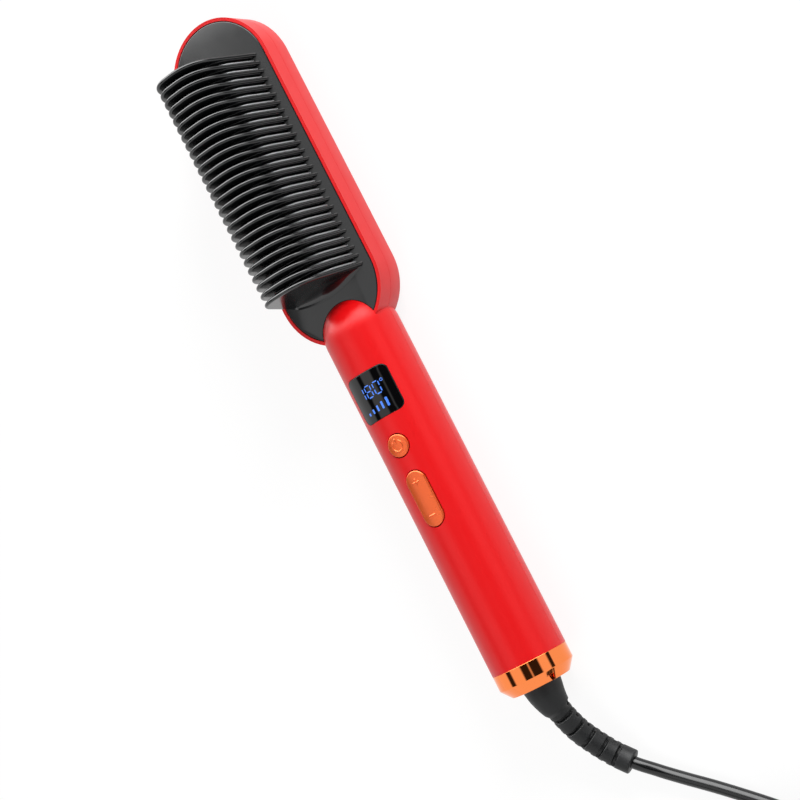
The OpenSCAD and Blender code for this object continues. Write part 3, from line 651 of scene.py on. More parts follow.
def bevelled_copy(node: str, width: float, slot: str, segments: int = 2) -> Piece:
    """Copies a node of the frame, joins its loose triangles and rounds its edges.

    Args:
        node: the node, which the copy replaces.
        width: the rounding in millimetres.
        slot: the slot of its finish.
        segments: steps over the rounding.

    Returns:
        The copy.
    """
    turn, flat = 32.0, 0.6
    source = frame["nodes"][node]
    mesh = source.data.copy()
    mesh.transform(source.matrix_world)
    shell = bmesh.new()
    shell.from_mesh(mesh)
    bmesh.ops.remove_doubles(shell, verts=shell.verts, dist=SAME_PACKED)
    bmesh.ops.dissolve_degenerate(shell, edges=shell.edges, dist=SAME_PACKED)
    bmesh.ops.dissolve_limit(shell, angle_limit=math.radians(flat), verts=shell.verts, edges=shell.edges)
    soften(shell, turn)
    shell.to_mesh(mesh)
    shell.free()
    piece = linked(node + "_finished", mesh)
    bevel = piece.modifiers.new("rounded_edges", "BEVEL")
    bevel.width = width * MM
    bevel.segments = segments
    bevel.limit_method = "ANGLE"
    bevel.angle_limit = math.radians(turn)
    bevel.use_clamp_overlap = True
    bevel.harden_normals = True
    settle(piece, slot, node)
    return piece


def settle(piece: Piece, slot: str, *nodes: str) -> None:
    """Gives a piece its finish, and lets it stand for nodes of the frame and move with them.

    Args:
        piece: the piece.
        slot: the record's slot for its finish.
        nodes: the nodes that it replaces.
    """
    piece.data.materials.clear()
    piece.data.materials.append(painted(Look[slot]))
    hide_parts(*nodes)
    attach(piece, body_of_node(nodes[0]))
    LOG.info("%s: %d faces, for %s", piece.name, len(piece.data.polygons), ", ".join(nodes))


def body_of_node(node: str) -> str:
    """Finds the body of the record that a node belongs to.

    Args:
        node: the node's name.

    Returns:
        The body's name.
    """
    bodies = frame["record"]["behaviour"]["bodies"]
    return next(body for body, nodes in bodies.items() if node in nodes)


@dataclass(frozen=True)
class PhotoCamera:
    """The camera at the photograph's angle, fitted to the brush's outline."""

    position: tuple[float, float, float] = (0.34343, -0.17958, 0.62094)
    right: tuple[float, float, float] = (0.75012, -0.45039, -0.48422)
    up: tuple[float, float, float] = (0.44526, 0.88536, -0.13373)
    back: tuple[float, float, float] = (0.48894, -0.11529, 0.86467)
    lens: float = 80.74

    def build(self) -> None:
        """Places the camera and makes it the scene's."""
        data = bpy.data.cameras.new("photo_camera")
        data.lens = self.lens
        data.sensor_width = 36.0
        data.clip_start = 0.01
        data.clip_end = 20.0
        camera = linked("photo_camera", data)
        turn = Matrix((self.right, self.up, self.back)).transposed()
        camera.matrix_world = Matrix.Translation(Vector(self.position)) @ turn.to_4x4().normalized()
        bpy.context.scene.camera = camera


@dataclass(frozen=True)
class Lamp:
    """A soft rectangular studio lamp that looks at a point of the brush and that mirrors don't show."""

    name: str
    position: tuple[float, float, float]
    target: tuple[float, float, float]
    size: tuple[float, float]
    watts: float

    def build(self) -> None:
        """Makes the lamp."""
        data = bpy.data.lights.new(self.name, "AREA")
        data.shape = "RECTANGLE"
        data.size, data.size_y = self.size
        data.energy = self.watts
        lamp = linked(self.name, data)
        lamp.location = self.position
        aim = Vector(self.target) - Vector(self.position)
        lamp.rotation_euler = aim.to_track_quat("-Z", "Y").to_euler()
        lamp.visible_glossy = False


@dataclass
class Studio:
    """Pale floor, white surround with dark screens, and soft lamps.

    Only mirrors see the screens. They are bands of the surround above and
    beside the brush, each given by its two angles about the Y axis, from
    straight up towards +X. Past the ends of the screens the surround is
    white again.
    """

    floor_half: float = 3.0
    paper: str = "#e2e2e2"
    shadow: str = "#6a6a6a"
    paper_lift: float = 0.88
    surround: float = 0.42
    bright: float = 1.05
    dark: float = 0.03
    back_light: float = 6.5
    screen_end: float = 0.45
    screen_soft: float = 2.5
    screens: tuple[tuple[float, float], ...] = ((-54.0, -38.0), (-5.0, 18.0), (21.0, 50.0), (78.0, 91.0))
    lamps: tuple[Lamp, ...] = (
        Lamp("key_lamp", (0.78, 0.72, 0.6), (0.0, -0.08, 0.02), (0.42, 0.42), 13.0),
        Lamp("fill_lamp", (-0.25, -0.9, 0.9), (0.0, -0.1, 0.0), (0.7, 0.7), 4.5),
    )

    def build(self) -> None:
        """Makes the floor, the surround and the lamps."""
        self._floor()
        self._world()
        for lamp in self.lamps:
            lamp.build()

    def _floor(self) -> None:
        """Lays a flat pale floor that eyes and mirrors see as white paper with a faint shadow."""
        h = self.floor_half / MM
        draft = Draft()
        draft.sheet(np.array([[[-h, -h, 0.0], [h, -h, 0.0]], [[-h, h, 0.0], [h, h, 0.0]]]))
        floor = draft.build("floor")
        material = bpy.data.materials.new("pale_paper_sweep")
        tree = fresh_tree(material)
        paper, shadow = (add_node(tree, "ShaderNodeBsdfDiffuse", {
            "Color": linear(colour)}).outputs["BSDF"] for colour in (self.paper, self.shadow))
        lift = add_node(tree, "ShaderNodeEmission", {
            "Color": linear("#ffffff"), "Strength": self.paper_lift}).outputs["Emission"]
        bright = add_node(tree, "ShaderNodeAddShader", {0: shadow, 1: lift}).outputs["Shader"]
        mix = add_node(tree, "ShaderNodeMixShader", {
            0: self._seen_by(tree, "Glossy", "Transmission", "Camera"), 1: paper, 2: bright})
        add_node(tree, "ShaderNodeOutputMaterial", {"Surface": mix.outputs["Shader"]})
        floor.data.materials.append(material)

    def _seen_by(self, tree: Tree, *kinds: str) -> Socket:
        """Gives 1 for some kinds of rays.

        Args:
            tree: the tree that gets the nodes.
            kinds: the kinds, by Blender's names.

        Returns:
            The socket.
        """
        ray = add_node(tree, "ShaderNodeLightPath").outputs
        return self._highest(tree, [ray[f"Is {kind} Ray"] for kind in kinds])

    def _highest(self, tree: Tree, values: list[Socket]) -> Socket:
        """Gives the highest of some values.

        Args:
            tree: the tree that gets the nodes.
            values: their sockets.

        Returns:
            The socket.
        """
        return reduce(lambda a, b: calc(tree, "MAXIMUM", a, b), values)

    def _world(self) -> None:
        """Surrounds the scene with even light, in which mirrors see dark screens.

        A direction's angle about the Y axis is the arc tangent of its x over
        its z. A screen is a smooth window on that angle, closed where the
        direction's y is past the screens' ends. A broad bright panel stands
        past the tip, and gives crests and the lead their lines of light.
        """
        world = bpy.data.worlds.new("pale_surround")
        tree = fresh_tree(world)
        way = add_node(tree, "ShaderNodeSeparateXYZ", {
            "Vector": add_node(tree, "ShaderNodeTexCoord").outputs["Generated"]}).outputs
        angle = calc(tree, "DEGREES", calc(tree, "ARCTAN2", way["X"], way["Z"]))
        shade = self._highest(tree, [
            self._window(tree, angle, (low + high) / 2, (high - low) / 2, self.screen_soft)
            for low, high in self.screens])
        inside = self._window(tree, way["Y"], 0.0, self.screen_end, 0.05)
        screened = remap(tree, calc(tree, "MULTIPLY", shade, inside), 0.0, 1.0, self.bright, self.dark)
        back = remap(tree, way["Y"], 0.42, 0.6, 0.0, self.back_light)
        above = remap(tree, way["Z"], 0.02, 0.12)
        glow = calc(tree, "MULTIPLY_ADD", back, above, screened)
        even, mirrored, white = (add_node(tree, "ShaderNodeBackground", {
            "Color": linear("#ffffff"), "Strength": strength}).outputs["Background"]
            for strength in (self.surround, glow, 1.0))
        lit = add_node(tree, "ShaderNodeMixShader", {
            0: self._seen_by(tree, "Glossy"), 1: even, 2: mirrored}).outputs["Shader"]
        sky = add_node(tree, "ShaderNodeMixShader", {
            0: self._seen_by(tree, "Camera", "Transmission"), 1: lit, 2: white})
        add_node(tree, "ShaderNodeOutputWorld", {"Surface": sky.outputs["Shader"]})
        bpy.context.scene.world = world

    def _window(self, tree: Tree, value: Socket, middle: float,
                half: float, soft: float) -> Socket:
        """Gives 1 where a value is near a middle and 0 elsewhere.

        Args:
            tree: the tree that gets the nodes.
            value: the value.
            middle: the middle of the window.
            half: half of its width.
            soft: half of the width of its edges.

        Returns:
            The socket.
        """
        far = calc(tree, "ABSOLUTE", calc(tree, "SUBTRACT", value, middle))
        return remap(tree, far, half - soft, half + soft, 1.0, 0.0)


@dataclass
class MainsLead:
    """The free mains lead: down from the strain relief, coiled, and on to its plug."""

    diameter: float = 5.0
    coil_turns: int = 9
    coil_layers: int = 4
    coil_mean: float = 57.0
    coil_start: float = 43.0
    coil_x: float = 48.8
    coil_y: float = TAIL_Y - 116.4
    tie: float = 0.5
    relief_rest: float = 5.1
    plug_z: float = 6.8
    skin_allowance: float = 0.02

    def lead_route(self) -> np.ndarray:
        """Gives the points from the strain relief to the coil.

        Returns:
            n x 3 points.
        """
        y, r = TAIL_Y, self.diameter / 2
        return np.array([
            [14.3, y - 42, self.relief_rest], [17.2, y - 44.7, r + 2.1], [20.2, y - 47.5, r + 1.2],
            [24, y - 50.9, r + 0.5], [31.2, y - 56.5, r + 0.1], [39.1, y - 62.3, r],
            [47.5, y - 68.8, r], [56, y - 75.6, r + 0.1], [63.6, y - 82.1, r + 0.3]])

    def tail_route(self) -> np.ndarray:
        """Gives the points from the coil to the plug.

        Returns:
            n x 3 points.
        """
        y, r, p = TAIL_Y, self.diameter / 2, self.plug_z
        top = self.coil_z(self.coil_layers - 1)
        return np.array([
            [81.7, y - 99.9, top], [85.3, y - 104.8, top - 0.2], [88.2, y - 110.3, top - 0.9],
            [90.3, y - 116.3, top - 2.2], [91.7, y - 122.7, top - 4.2], [92.2, y - 129.7, r + 10],
            [91.6, y - 136.7, r + 7.1], [89.5, y - 143.5, r + 4.4], [85.9, y - 149.8, r + 2.2],
            [80.6, y - 155.2, r + 0.8], [74.1, y - 159.4, r + 0.2], [66.8, y - 162.3, r + 0.7],
            [59.2, y - 163.9, r + 2.1], [51.6, y - 164.5, p - 0.8], [46.3, y - 164.5, p - 0.1],
            [41.2, y - 164.5, p], [36, y - 164.5, p]])

    def coil_z(self, layer: float | np.ndarray) -> float | np.ndarray:
        """Gives the height of the lead's middle in a layer of the coil.

        Args:
            layer: the layer, from 0, or a share of the way to the next.

        Returns:
            The height.
        """
        return self.diameter / 2 + self.tie + 0.1 + (self.diameter + 0.45) * layer

    def coil_route(self) -> np.ndarray:
        """Winds the coil.

        The radius falls and rises again at a steady rate by layers, and the
        height climbs a layer in the half turn about each reversal.

        Returns:
            The coil's points, 24 for each turn.
        """
        step = self.diameter + 0.5
        per_layer = self.coil_turns / self.coil_layers
        outer = (self.coil_mean + step * per_layer) / 2
        t = np.arange(self.coil_turns * 24 + 1) / 24
        wave = t / per_layer - 2 * np.floor(t / per_layer / 2)
        inward = np.where(wave <= 1, wave, 2 - wave)
        radius = outer - step * per_layer * inward
        k = np.arange(1, self.coil_layers)[None, :]
        climb = np.clip(2 * (t[:, None] - k * per_layer) + 0.5, 0, 1).sum(1)
        a = np.radians(self.coil_start - 360 * t)
        return np.stack([self.coil_x + radius * np.cos(a), self.coil_y + radius * np.sin(a),
                         self.coil_z(climb)], -1)

    def route(self) -> np.ndarray:
        """Joins the lead, the coil and the tail.

        Returns:
            All the points, in millimetres.
        """
        coil = self.coil_route()
        first, last = coil[1] - coil[0], coil[-1] - coil[-2]
        coil_in = coil[0] - first / np.linalg.norm(first) * self.diameter
        coil_out = coil[-1] + last / np.linalg.norm(last) * self.diameter
        return np.vstack([self.lead_route(), coil_in, coil, coil_out, self.tail_route()])

    def build(self, pieces: list[Piece]) -> None:
        """Args:
            pieces: what sits on the lead; not used.
        """
        path = smooth_path(self.route(), 3)
        draft = Draft()
        draft.grid(tube_grid(path, np.full(len(path), self.diameter / 2 - self.skin_allowance), 18))
        lead = draft.finish("black_pvc", "cord_lead", "cord_coil", "cord_tail", name="mains_lead")


@dataclass
class CordEnd:
    """The lead with what sits on it: the strap round the coil and the plug."""

    lead: MainsLead = field(default_factory=MainsLead)
    strap_width: float = 8.0
    strap_pad: float = 0.5
    strap_corner: float = 1.8
    strap_turn: float = 150.0
    plug_y: float = TAIL_Y - 164.5
    plug_x: float = 36.0

    def build(self) -> None:
        """Makes the strap, the plug and the lead between them."""
        pins = bevelled_copy("plug_pins", 0.4, "nickel_pins", 3)
        sleeves = bevelled_copy("pin_sleeves", 0.1, "black_pvc")
        self.lead.build([self._strap(), self._plug(), pins, sleeves])

    def _strap(self) -> Piece:
        """Wraps the coil's section in a strap with rounded edges.

        The strap's middle line is a rectangle with round corners. Its section
        is a flat loop, thin at the edges, carried along that line.

        Returns:
            The strap.
        """
        coil, t = self.lead, self.lead.tie
        w = (coil.diameter + 0.5) * coil.coil_turns / coil.coil_layers + coil.diameter + 2 * self.strap_pad
        h = coil.coil_z(coil.coil_layers - 1) + coil.diameter / 2 + self.strap_pad - t
        ring = round_rectangle(w + t, h + t, self.strap_corner, 8)
        a = np.radians(np.linspace(0, 360, 24, endpoint=False))
        across = self.strap_width / 2 * np.sign(np.cos(a)) * np.abs(np.cos(a)) ** 0.3
        deep = (t / 2 - 0.02) * np.sign(np.sin(a)) * np.abs(np.sin(a)) ** 0.7
        rows = inset(ring, deep)
        points = np.stack([rows[..., 0], np.broadcast_to(across[:, None], rows.shape[:2]), rows[..., 1]], -1)
        turn = math.radians(coil.coil_start + self.strap_turn)
        x = points[..., 0] + coil.coil_mean / 2
        y = points[..., 1]
        placed = np.stack([coil.coil_x + x * math.cos(turn) - y * math.sin(turn),
                           coil.coil_y + x * math.sin(turn) + y * math.cos(turn),
                           points[..., 2] + t + h / 2], -1)
        draft = Draft()
        draft.grid(placed, wrap_rows=True)
        return draft.finish("black_pvc", "cord_tie")

    def _plug(self) -> Piece:
        """Lofts the plug from its neck to its face.

        Each section is a superellipse: |y/a| and |z/b|, both to the power of
        its roundness, add up to 1. Its half sizes a and b follow the grip.

        Returns:
            The plug.
        """
        stations = np.array([
            # distance from the lead, half width, half height, roundness
            [0.0, 4.0, 4.0, 2.0], [3.0, 4.4, 4.4, 2.0], [3.5, 4.0, 4.0, 2.0], [4.3, 4.0, 4.0, 2.0],
            [4.8, 4.75, 4.75, 2.0], [6.6, 4.9, 4.9, 2.0], [7.1, 4.3, 4.3, 2.0], [7.9, 4.4, 4.4, 2.0],
            [8.4, 5.1, 5.1, 2.0], [11.0, 5.5, 5.0, 2.2], [11.8, 7.6, 5.3, 3.0], [14.0, 9.3, 5.8, 3.6],
            [18.0, 11.4, 6.3, 4.0], [22.0, 13.3, 6.5, 4.0], [26.0, 15.0, 6.6, 4.0],
            [31.0, 16.5, 6.65, 4.2], [38.0, 17.1, 6.7, 4.6], [44.0, 17.45, 6.75, 5.0],
            [46.3, 17.5, 6.7, 5.0], [46.8, 17.1, 6.3, 5.0], [47.0, 16.5, 5.8, 5.0]])
        s = np.concatenate([np.linspace(p, q, 5, endpoint=False) for p, q in zip(
            stations[:-1, 0], stations[1:, 0])] + [stations[-1:, 0]])
        a, b, power = (np.interp(s, stations[:, 0], stations[:, k])[:, None] for k in (1, 2, 3))
        t = np.radians(np.linspace(0, 360, 72, endpoint=False))[None, :]
        c, d = np.cos(t), np.sin(t)
        y = a * np.sign(c) * np.abs(c) ** (2 / power)
        z = b * np.sign(d) * np.abs(d) ** (2 / power)
        x = np.broadcast_to(self.plug_x - s[:, None], y.shape)
        draft = Draft()
        draft.grid(np.stack([x, y + self.plug_y, z + self.lead.plug_z], -1))
        return draft.finish("black_pvc", "plug_body", sharp=50.0)


@dataclass
class StrainRelief:
    """The rubber sleeve: a cone, then blocks parted by slots, and a collar."""

    rest: float = 5.1
    radius: float = 4.9
    root: float = 8.0
    cone_end: float = 5.7
    slot_depth: float = 1.75
    slot_half: float = 0.68
    side_reach: float = 24.0
    top_reach: float = 70.0
    turn: float = 15.0
    collar_round: float = 0.6
    course: tuple[tuple[float, float, float], ...] = (
        (0, 0, 1), (0.1, 4, 0.99), (0.4, 7.6, 0.954), (0.9, 11.2, 0.886), (1.2, 14, 0.803),
        (1.5, 17, 0.695), (2, 20, 0.581), (2.7, 23, 0.471), (3.9, 26.1, 0.365), (5.2, 29, 0.271),
        (6.6, 31.8, 0.186), (8.2, 34.5, 0.114), (10, 37.1, 0.059), (12.1, 39.6, 0.021), (14.3, 42, 0))

    def build(self) -> None:
        """Makes the sleeve.

        The radius at a sample is the cone's or the block's, less the depth of
        a slot where the sample is within half a slot of its middle and the
        point round the sleeve is on the two sides that the slot cuts. Slots
        cut the two sides and the top and bottom by turns. Near the collar's
        end the radius follows a quarter circle.
        """
        course = np.array(self.course)
        knots = np.stack([course[:, 0], TAIL_Y - course[:, 1],
                          self.rest + course[:, 2] * (AXIS_Z - self.rest)], -1)
        path = smooth_path(knots, 20)
        s = np.concatenate([[0], np.cumsum(np.linalg.norm(np.diff(path, axis=0), axis=1))])
        slots = s[np.arange(3, 13) * 20]
        sides = 72
        a = 2 * np.pi * (np.arange(sides) + 0.5) / sides
        cut_sides = self._window(np.abs(np.sin(a - math.radians(self.turn))), self.side_reach)
        cut_top = self._window(np.abs(np.cos(a - math.radians(self.turn))), self.top_reach)
        cone = np.interp(s, [0, 4, slots[0] - 0.6, slots[0] + 0.6], [
            self.root, self.root - 0.7, self.cone_end, self.radius])
        near = 1 / (1 + np.exp((np.abs(s[:, None] - slots[None, :]) - self.slot_half) / 0.05))
        turn = np.where((np.arange(len(slots)) % 2 == 0)[:, None], cut_sides[None], cut_top[None])
        radii = cone[:, None] - self.slot_depth * (near @ turn)
        r = self.collar_round
        into_round = r - np.minimum(s[-1] - s, r)
        radii -= (r - np.sqrt(np.clip(r ** 2 - into_round ** 2, 0, None)))[:, None]
        draft = Draft()
        draft.grid(tube_grid(path, radii, sides))
        draft.finish("black_rubber", "strain_relief", sharp=60.0)

    def _window(self, sine: np.ndarray, reach: float) -> np.ndarray:
        """Gives 1 within an angle of a slot's middle and 0 past it, over a soft edge.

        Args:
            sine: the sine of the angle from the slot's middle.
            reach: half of the slot's angle in degrees.

        Returns:
            The share of the slot's depth at each angle.
        """
        return 1 / (1 + np.exp((sine - math.sin(math.radians(reach))) * 45))


@dataclass
class EndCap:
    """The plated cap: a band, a conical rim with a notch, and the swivel's hole."""

    radius: float = 15.6
    length: float = 10.5
    rim: float = 12.3
    chamfer: float = 4.3
    hole: float = 8.3
    spigot: float = 13.25
    spigot_wall: float = 1.4
    spigot_length: float = 7.0
    notch_angle: float = 48.0
    notch_half: float = 1.3
    notch_depth: float = 1.4
    notch_length: float = 2.2

    def build(self) -> None:
        """Turns the cap's profile and presses the notch into its rim.

        A point's place is its distance along the handle and its radius. Where
        the point is within the notch's half width and length, its radius is
        at most the notch's floor.
        """
        knots = np.array([
            # distance from the handle's end, radius
            [2.0, self.hole], [0.25, self.hole], [0.07, self.hole + 0.07], [0.0, self.hole + 0.25],
            [0.0, self.rim - 0.35], [0.0, self.rim - 0.3], [0.1, self.rim], [0.14, self.rim + 0.03],
            [self.chamfer - 0.34, self.radius - 0.26], [self.chamfer - 0.3, self.radius - 0.23],
            [self.chamfer - 0.12, self.radius - 0.11], [self.chamfer + 0.03, self.radius - 0.03],
            [self.chamfer + 0.2, self.radius], [self.chamfer + 0.24, self.radius],
            [self.length - 0.19, self.radius], [self.length - 0.15, self.radius],
            [self.length - 0.04, self.radius - 0.05],
            [self.length, self.radius - 0.25], [self.length, self.spigot],
            [self.length + self.spigot_length, self.spigot],
            [self.length + self.spigot_length, self.spigot - self.spigot_wall],
            [2.0, self.spigot - self.spigot_wall]])
        closed = np.vstack([knots, knots[:1]])
        steps = [8 if np.hypot(*step) > 1 else 1 for step in np.diff(closed, axis=0)]
        profile = np.vstack([np.linspace(p, q, n, endpoint=False) for p, q, n in zip(
            closed[:-1], closed[1:], steps)])
        a = np.radians(np.linspace(0, 360, 360, endpoint=False))
        along, r = profile[:, :1], np.broadcast_to(profile[:, 1:], (len(profile), len(a))).copy()
        off = np.radians(self.notch_angle) - a[None, :]
        off = (off + np.pi) % (2 * np.pi) - np.pi
        inside = (np.abs(off) * self.rim < self.notch_half) & (along < self.notch_length)
        floor = self.rim - self.notch_depth
        r = np.where(inside & (r > floor), floor, r)
        points = np.stack([r * np.sin(a), np.broadcast_to(TAIL_Y + along, r.shape),
                           AXIS_Z + r * np.cos(a)], -1)
        draft = Draft()
        draft.grid(points, wrap_rows=True)
        draft.finish("copper_plate", "end_cap", sharp=40.0)


@dataclass
class Controls:
    """The power button, the temperature rocker and the display."""

    power_y: float = TAIL_Y + 105.3
    rocker_y: float = TAIL_Y + 82.7
    display_y: float = TAIL_Y + 127.0
    key_crown: float = 15.9
    key_bend: float = 34.0
    key_fillet: float = 0.4
    mark_height: float = 0.34
    ring_gap: float = 32.0
    rocker_reach: float = 7.0
    pane_crown: float = 15.57
    ink_height: float = 0.07

    def build(self) -> None:
        """Makes the two keys and the pane with its lit picture."""
        self._power()
        self._rocker()
        self._display()

    def _key(self, outline: np.ndarray, y: float, depth: float, marks: list[np.ndarray],
             width: float) -> Draft:
        """Drafts a crowned key with its raised marks.

        Args:
            outline: the key's plan, about its middle.
            y: its place along the handle.
            depth: how far above the axis its skirt ends.
            marks: the middle lines of its marks.
            width: the marks' width.

        Returns:
            The draft.
        """
        key = CrownedKey(outline, y, self.key_crown, self.key_bend, self.key_fillet, AXIS_Z + depth)
        draft = Draft()
        draft.grid(key.grid())
        for path in marks:
            draft.sheet(key.mark(path, width, self.mark_height))
        return draft

    def _power(self) -> None:
        """Makes the button: a round key whose mark is a broken ring and a bar."""
        gap = np.radians(np.linspace(90 + self.ring_gap, 450 - self.ring_gap, 40))
        bar = np.stack([np.zeros(8), np.linspace(0.9, 3.0, 8)], -1)
        draft = self._key(circle(4.5, np.radians(np.linspace(0, 360, 72, endpoint=False))), self.power_y,
                          11.0, [circle(2.2, gap), bar], 0.75)
        draft.finish("copper_lacquer", "power_button")

    def _rocker(self) -> None:
        """Makes the rocker: a long key with a plus and a minus."""
        line, far, none = np.linspace(-1.5, 1.5, 9), np.full(9, self.rocker_reach), np.zeros(9)
        marks = [np.stack(pair, -1) for pair in ((line, far), (none, far + line), (line, -far))]
        draft = self._key(stadium(4.4, 14.2, 30), self.rocker_y, 10.8, marks, 0.8)
        draft.finish("copper_lacquer", "temperature_rocker")

    def _display(self) -> None:
        """Makes the pane and, on it, three digits, a degree ring and five bars."""
        pane = CrownedKey(round_rectangle(19.2, 19.0, 2.6), self.display_y, self.pane_crown,
                          self.pane_crown, 0.2, AXIS_Z + 12.2, rings=9)
        draft = Draft()
        draft.grid(pane.grid())
        draft.finish("smoked_acrylic", "display_window")
        digits = [(path, 0.62) for k, digit in enumerate("180")
                  for path in self._segments(digit, -4.6 + 3.9 * k, 1.9, 1.3, 2.4)]
        ring = [(circle(0.5, np.radians(np.linspace(0, 360, 16))) + [5.9, 3.9], 0.34)]
        bars = [(np.stack([np.full(16, -5.2 + 2.4 * k), np.linspace(-6.6, -5.4 + 0.65 * k, 16)], -1), 1.25)
                for k in range(5)]
        ink = Draft()
        for path, width in digits + ring + bars:
            ink.sheet(pane.mark(path, width, self.ink_height))
        lit = ink.build("display_segments")
        lit.data.materials.append(painted(DisplayInk.lit_blue))
        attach(lit, body_of_node("display_window"))
        LOG.info("display_segments: %d faces", len(lit.data.polygons))

    def _segments(self, digit: str, x: float, y: float, half: float, step: float) -> list[np.ndarray]:
        """Gives the lit strokes of a seven-segment digit.

        Args:
            digit: the figure.
            x: its middle in X.
            y: its middle in Y.
            half: half of its width.
            step: the length of an upright stroke.

        Returns:
            The middle lines of the strokes.
        """
        # The gap between the ends of two strokes
        g = 0.3
        strokes = {
            "a": ((-half + g, step), (half - g, step)), "g": ((-half + g, 0), (half - g, 0)),
            "d": ((-half + g, -step), (half - g, -step)), "f": ((-half, g), (-half, step - g)),
            "e": ((-half, g - step), (-half, -g)), "b": ((half, g), (half, step - g)),
            "c": ((half, g - step), (half, -g))}
        lit = {"1": "bc", "8": "abcdefg", "0": "abcdef"}[digit]
        return [np.linspace(*np.array(strokes[s], float), 12) + [x, y] for s in lit]


@dataclass
class Comb:
    """The black panel with its fins and end guards, and the heated blades between them.

    Fins and blades stand on the panel and lean towards the tip, the ones near
    the tip more. A fin's own axes are x across the panel, u through its
    thickness and h up along it.
    """

    count: int = 27
    pitch: float = 3.58
    half_width: float = 19.3
    height: float = 25.8
    thickness: float = 1.6
    crest_radius: float = 17.0
    rise: float = 58.0
    nose: float = 8.0
    nose_set: float = 1.6
    lean: float = 7.0
    fan: float = 3.6
    foot: float = 4.8
    foot_height: float = 15.0
    foot_middle: float = 1.5
    foot_past: float = 1.2
    foot_blend: float = 0.35
    panel_top: float = AXIS_Z + 7.9
    panel_radius: float = 22.05
    panel_span: float = 93.5
    dome_y: float = -68.6
    dome_radius: float = 15.7
    blade_drop: float = 9.0
    blade_inset: float = 2.5
    blade_nose: float = 2.5
    blade_thickness: float = 0.9
    sunk: float = 1.2
    panel_round: float = 0.3
    panel_depth: float = 1.8

    def build(self) -> None:
        """Makes the guard in one piece and the blades in another."""
        guard = Draft()
        self._panel(guard)
        edge = self._outline(self.half_width, self.height, self.nose)
        for k in range(1, self.count - 1):
            guard.grid(self._stand(self._plate(edge, self.thickness), self._row(k)))
        for k, side in ((0, -1), (self.count - 1, 1)):
            guard.grid(self._stand(self._end_plate(edge, side), self._row(k)))
        guard.finish("black_nylon", "comb_guard", sharp=30.0)
        blades = Draft()
        edge = self._outline(self.half_width - self.blade_inset, self.height - self.blade_drop,
                             self.blade_nose)
        for k in range(self.count - 1):
            blades.grid(self._stand(self._plate(edge, self.blade_thickness), self._row(k + 0.5)))
        blades.finish("anodised_aluminium", "heating_comb", sharp=30.0)

    def _row(self, k: float) -> float:
        """Gives a fin's place along the panel.

        Args:
            k: the fin's number, or a half more for the blade after it.

        Returns:
            Its place, from the panel's middle.
        """
        return (k - (self.count - 1) / 2) * self.pitch

    def _outline(self, half: float, height: float, nose: float) -> np.ndarray:
        """Draws a fin: a long slope, a round crest, and a round nose over the steep side.

        Args:
            half: half of its width at the panel.
            height: its height over the panel.
            nose: the radius of its nose.

        Returns:
            n x 2 points, counterclockwise from the slope's foot.
        """
        rise = math.radians(self.rise)
        drop = self.crest_radius * (1 - math.cos(rise))
        nose_x = nose - half + self.nose_set
        crest_x = max(half - (height - drop) / math.tan(rise) - self.crest_radius * math.sin(rise),
                      nose_x + 0.5)
        crest = circle(self.crest_radius, np.linspace(math.pi / 2 - rise, math.pi / 2, 26))
        crest += [crest_x, height - self.crest_radius]
        front = circle(nose, np.radians(np.linspace(90, 175, 26))) + [nose_x, height - nose]
        slope = np.linspace([half, -self.sunk], crest[0], 14, endpoint=False)
        steep = np.linspace(front[-1], [-half, -self.sunk], 15)[1:]
        base = np.linspace([-half, -self.sunk], [half, -self.sunk], 40)[1:-1]
        top = np.linspace(crest[-1], front[0], 4)[1:-1]
        return np.vstack([slope, crest, top, front, steep, base])

    def _plate(self, edge: np.ndarray, thickness: float) -> np.ndarray:
        """Gives a plate whose edge is fully round.

        At the angle p across the round, a point lies r (1 - cos p) inside the
        outline and r sin p off the plate's middle, where r is half of its
        thickness.

        Args:
            edge: the outline.
            thickness: the plate's thickness.

        Returns:
            An array of rows x points x 3 of x, u and h.
        """
        r = thickness / 2
        p = np.radians(np.linspace(-90, 90, 11))
        flat = inset(edge, r * (1 - np.cos(p)))
        u = np.broadcast_to(r * np.sin(p)[:, None], flat.shape[:2])
        return np.stack([flat[..., 0], u, flat[..., 1]], -1)

    def _end_plate(self, edge: np.ndarray, side: int) -> np.ndarray:
        """Gives an end guard: the last fin with a foot that runs out over the panel.

        The foot's wall is a dish turned about an upright axis. At a height h
        its radius is the rim's less foot sin(a), where h is the foot's height
        times 1 - cos(a). The wall blends into the fin's own face.

        Args:
            edge: the outline.
            side: -1 or 1, the side of the fin on which the foot runs out.

        Returns:
            An array of rows x points x 3 of x, u and h.
        """
        plate = self._plate(edge, self.thickness)
        rim = plate[-1:, :, ::2]
        share = np.linspace(1, 0.02, 40)[1:, None, None]
        middle = np.array([-self.foot_middle, 7.0])
        inner = middle + share * (rim - middle)
        across = np.full(inner.shape[:2], self.thickness / 2)
        face = np.stack([inner[..., 0], across, inner[..., 1]], -1)
        points = np.concatenate([plate, face])
        x, u, h = points[..., 0], points[..., 1], points[..., 2]
        reach = self.half_width + self.foot_past
        dish = (reach ** 2 + self.foot ** 2) / (2 * self.foot)
        a = np.arccos(1 - np.clip(h / self.foot_height, 0, 1))
        wall = self.foot - dish + np.sqrt((dish - self.foot * np.sin(a)) ** 2 - (x + self.foot_middle) ** 2)
        out = self.foot_blend * np.logaddexp(0, (wall - self.thickness / 2) / self.foot_blend)
        out *= np.clip(u / (self.thickness / 2), 0, 1)
        return np.stack([x, side * (u + out), h], -1)

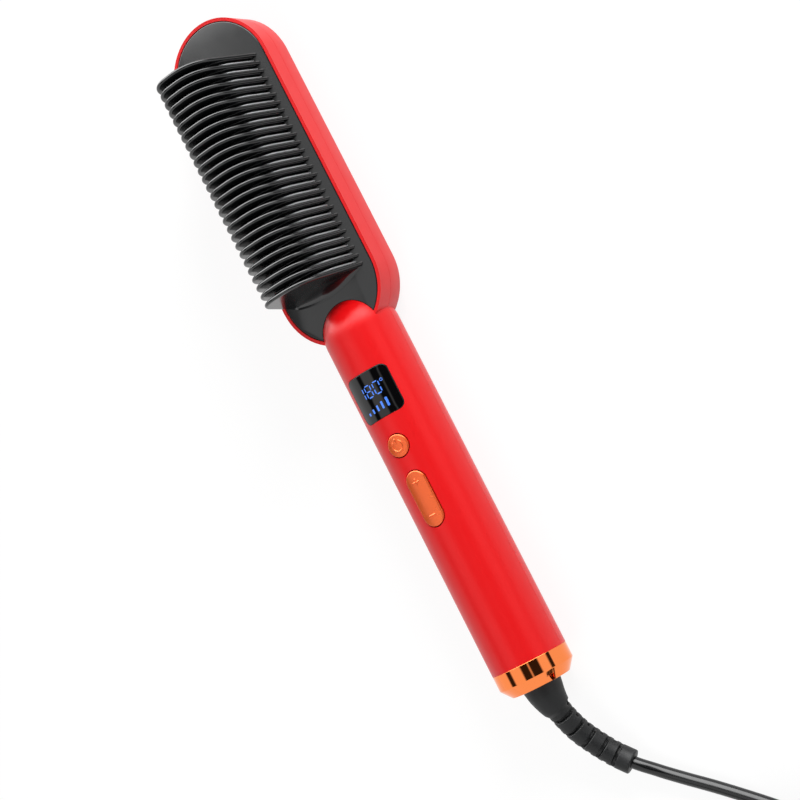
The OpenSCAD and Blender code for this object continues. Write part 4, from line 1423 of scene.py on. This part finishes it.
    def _stand(self, points: np.ndarray, y: float) -> np.ndarray:
        """Stands a plate on the panel at y with the lean of that place.

        Args:
            points: x, u and h of its points.
            y: its place along the panel.

        Returns:
            The points in space.
        """
        lean = -math.radians(self.lean + self.fan * y / (self.pitch * (self.count - 1) / 2))
        x, u, h = points[..., 0], points[..., 1], points[..., 2]
        return np.stack([x, y + u * math.cos(lean) - h * math.sin(lean),
                         self.panel_top + u * math.sin(lean) + h * math.cos(lean)], -1)

    def _panel(self, draft: Draft) -> None:
        """Adds the panel: a slot-shaped plate out of which the handle's dome takes a bite.

        Args:
            draft: the guard's draft.
        """
        end = -self.panel_span / 2
        lift = self.panel_top - AXIS_Z
        bite = math.sqrt(self.dome_radius ** 2 - lift ** 2)
        gap = end - self.dome_y
        along = (self.panel_radius ** 2 - bite ** 2 + gap ** 2) / (2 * gap)
        corner = math.asin(along / self.panel_radius)
        tip = circle(self.panel_radius, np.linspace(0, math.pi, 60)) + [0, -end]
        left = circle(self.panel_radius, np.linspace(math.pi, math.pi + corner, 30)) + [0, end]
        top_y, half = end - along, self.panel_radius * math.cos(corner)
        start = math.atan2(top_y - self.dome_y, -half)
        dome = circle(bite, np.linspace(start, math.pi - start, 50)[1:-1]) + [0, self.dome_y]
        edge = np.vstack([tip, left, dome, left[::-1] * [-1, 1]])
        p, r = np.radians(np.linspace(0, 90, 6)), self.panel_round
        rows = inset(edge, np.concatenate([r * (1 - np.sin(p)), [0.0]]))
        z = self.panel_top - np.concatenate([r * (1 - np.cos(p)), [self.panel_depth]])
        draft.grid(np.concatenate([rows, np.broadcast_to(z[:, None, None], rows.shape[:2] + (1,))], -1))


@dataclass
class PackedNodes:
    """The nodes of the frame that keep their own shape and get a finish."""

    rounded: tuple[tuple[str, float], ...] = (
        ("front_shell", 0.22), ("rear_shell", 0.22), ("swivel_stem", 0.3), ("shell_screws", 0.2))

    def dress(self) -> None:
        """Gives every node of the frame its material and rounds the edges of some."""
        slots = {s["node"]: s["material_slot"] for s in frame["record"]["subparts"]}
        for name, node in frame["nodes"].items():
            node.data.materials.clear()
            node.data.materials.append(painted(Look[slots[name]]))
            LOG.info("%s: %s", name, slots[name])
        for name, width in self.rounded:
            bevelled_copy(name, width, slots[name])


def main() -> None:
    """Builds the scene: camera and lead first, then the brush and the studio."""
    logging.basicConfig(level=logging.INFO, format="%(message)s")
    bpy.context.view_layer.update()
    bpy.context.scene.view_settings.view_transform = "Standard"
    PhotoCamera().build()
    CordEnd().build()
    PackedNodes().dress()
    Comb().build()
    StrainRelief().build()
    EndCap().build()
    Controls().build()
    Studio().build()


if __name__ == "__main__":
    main()
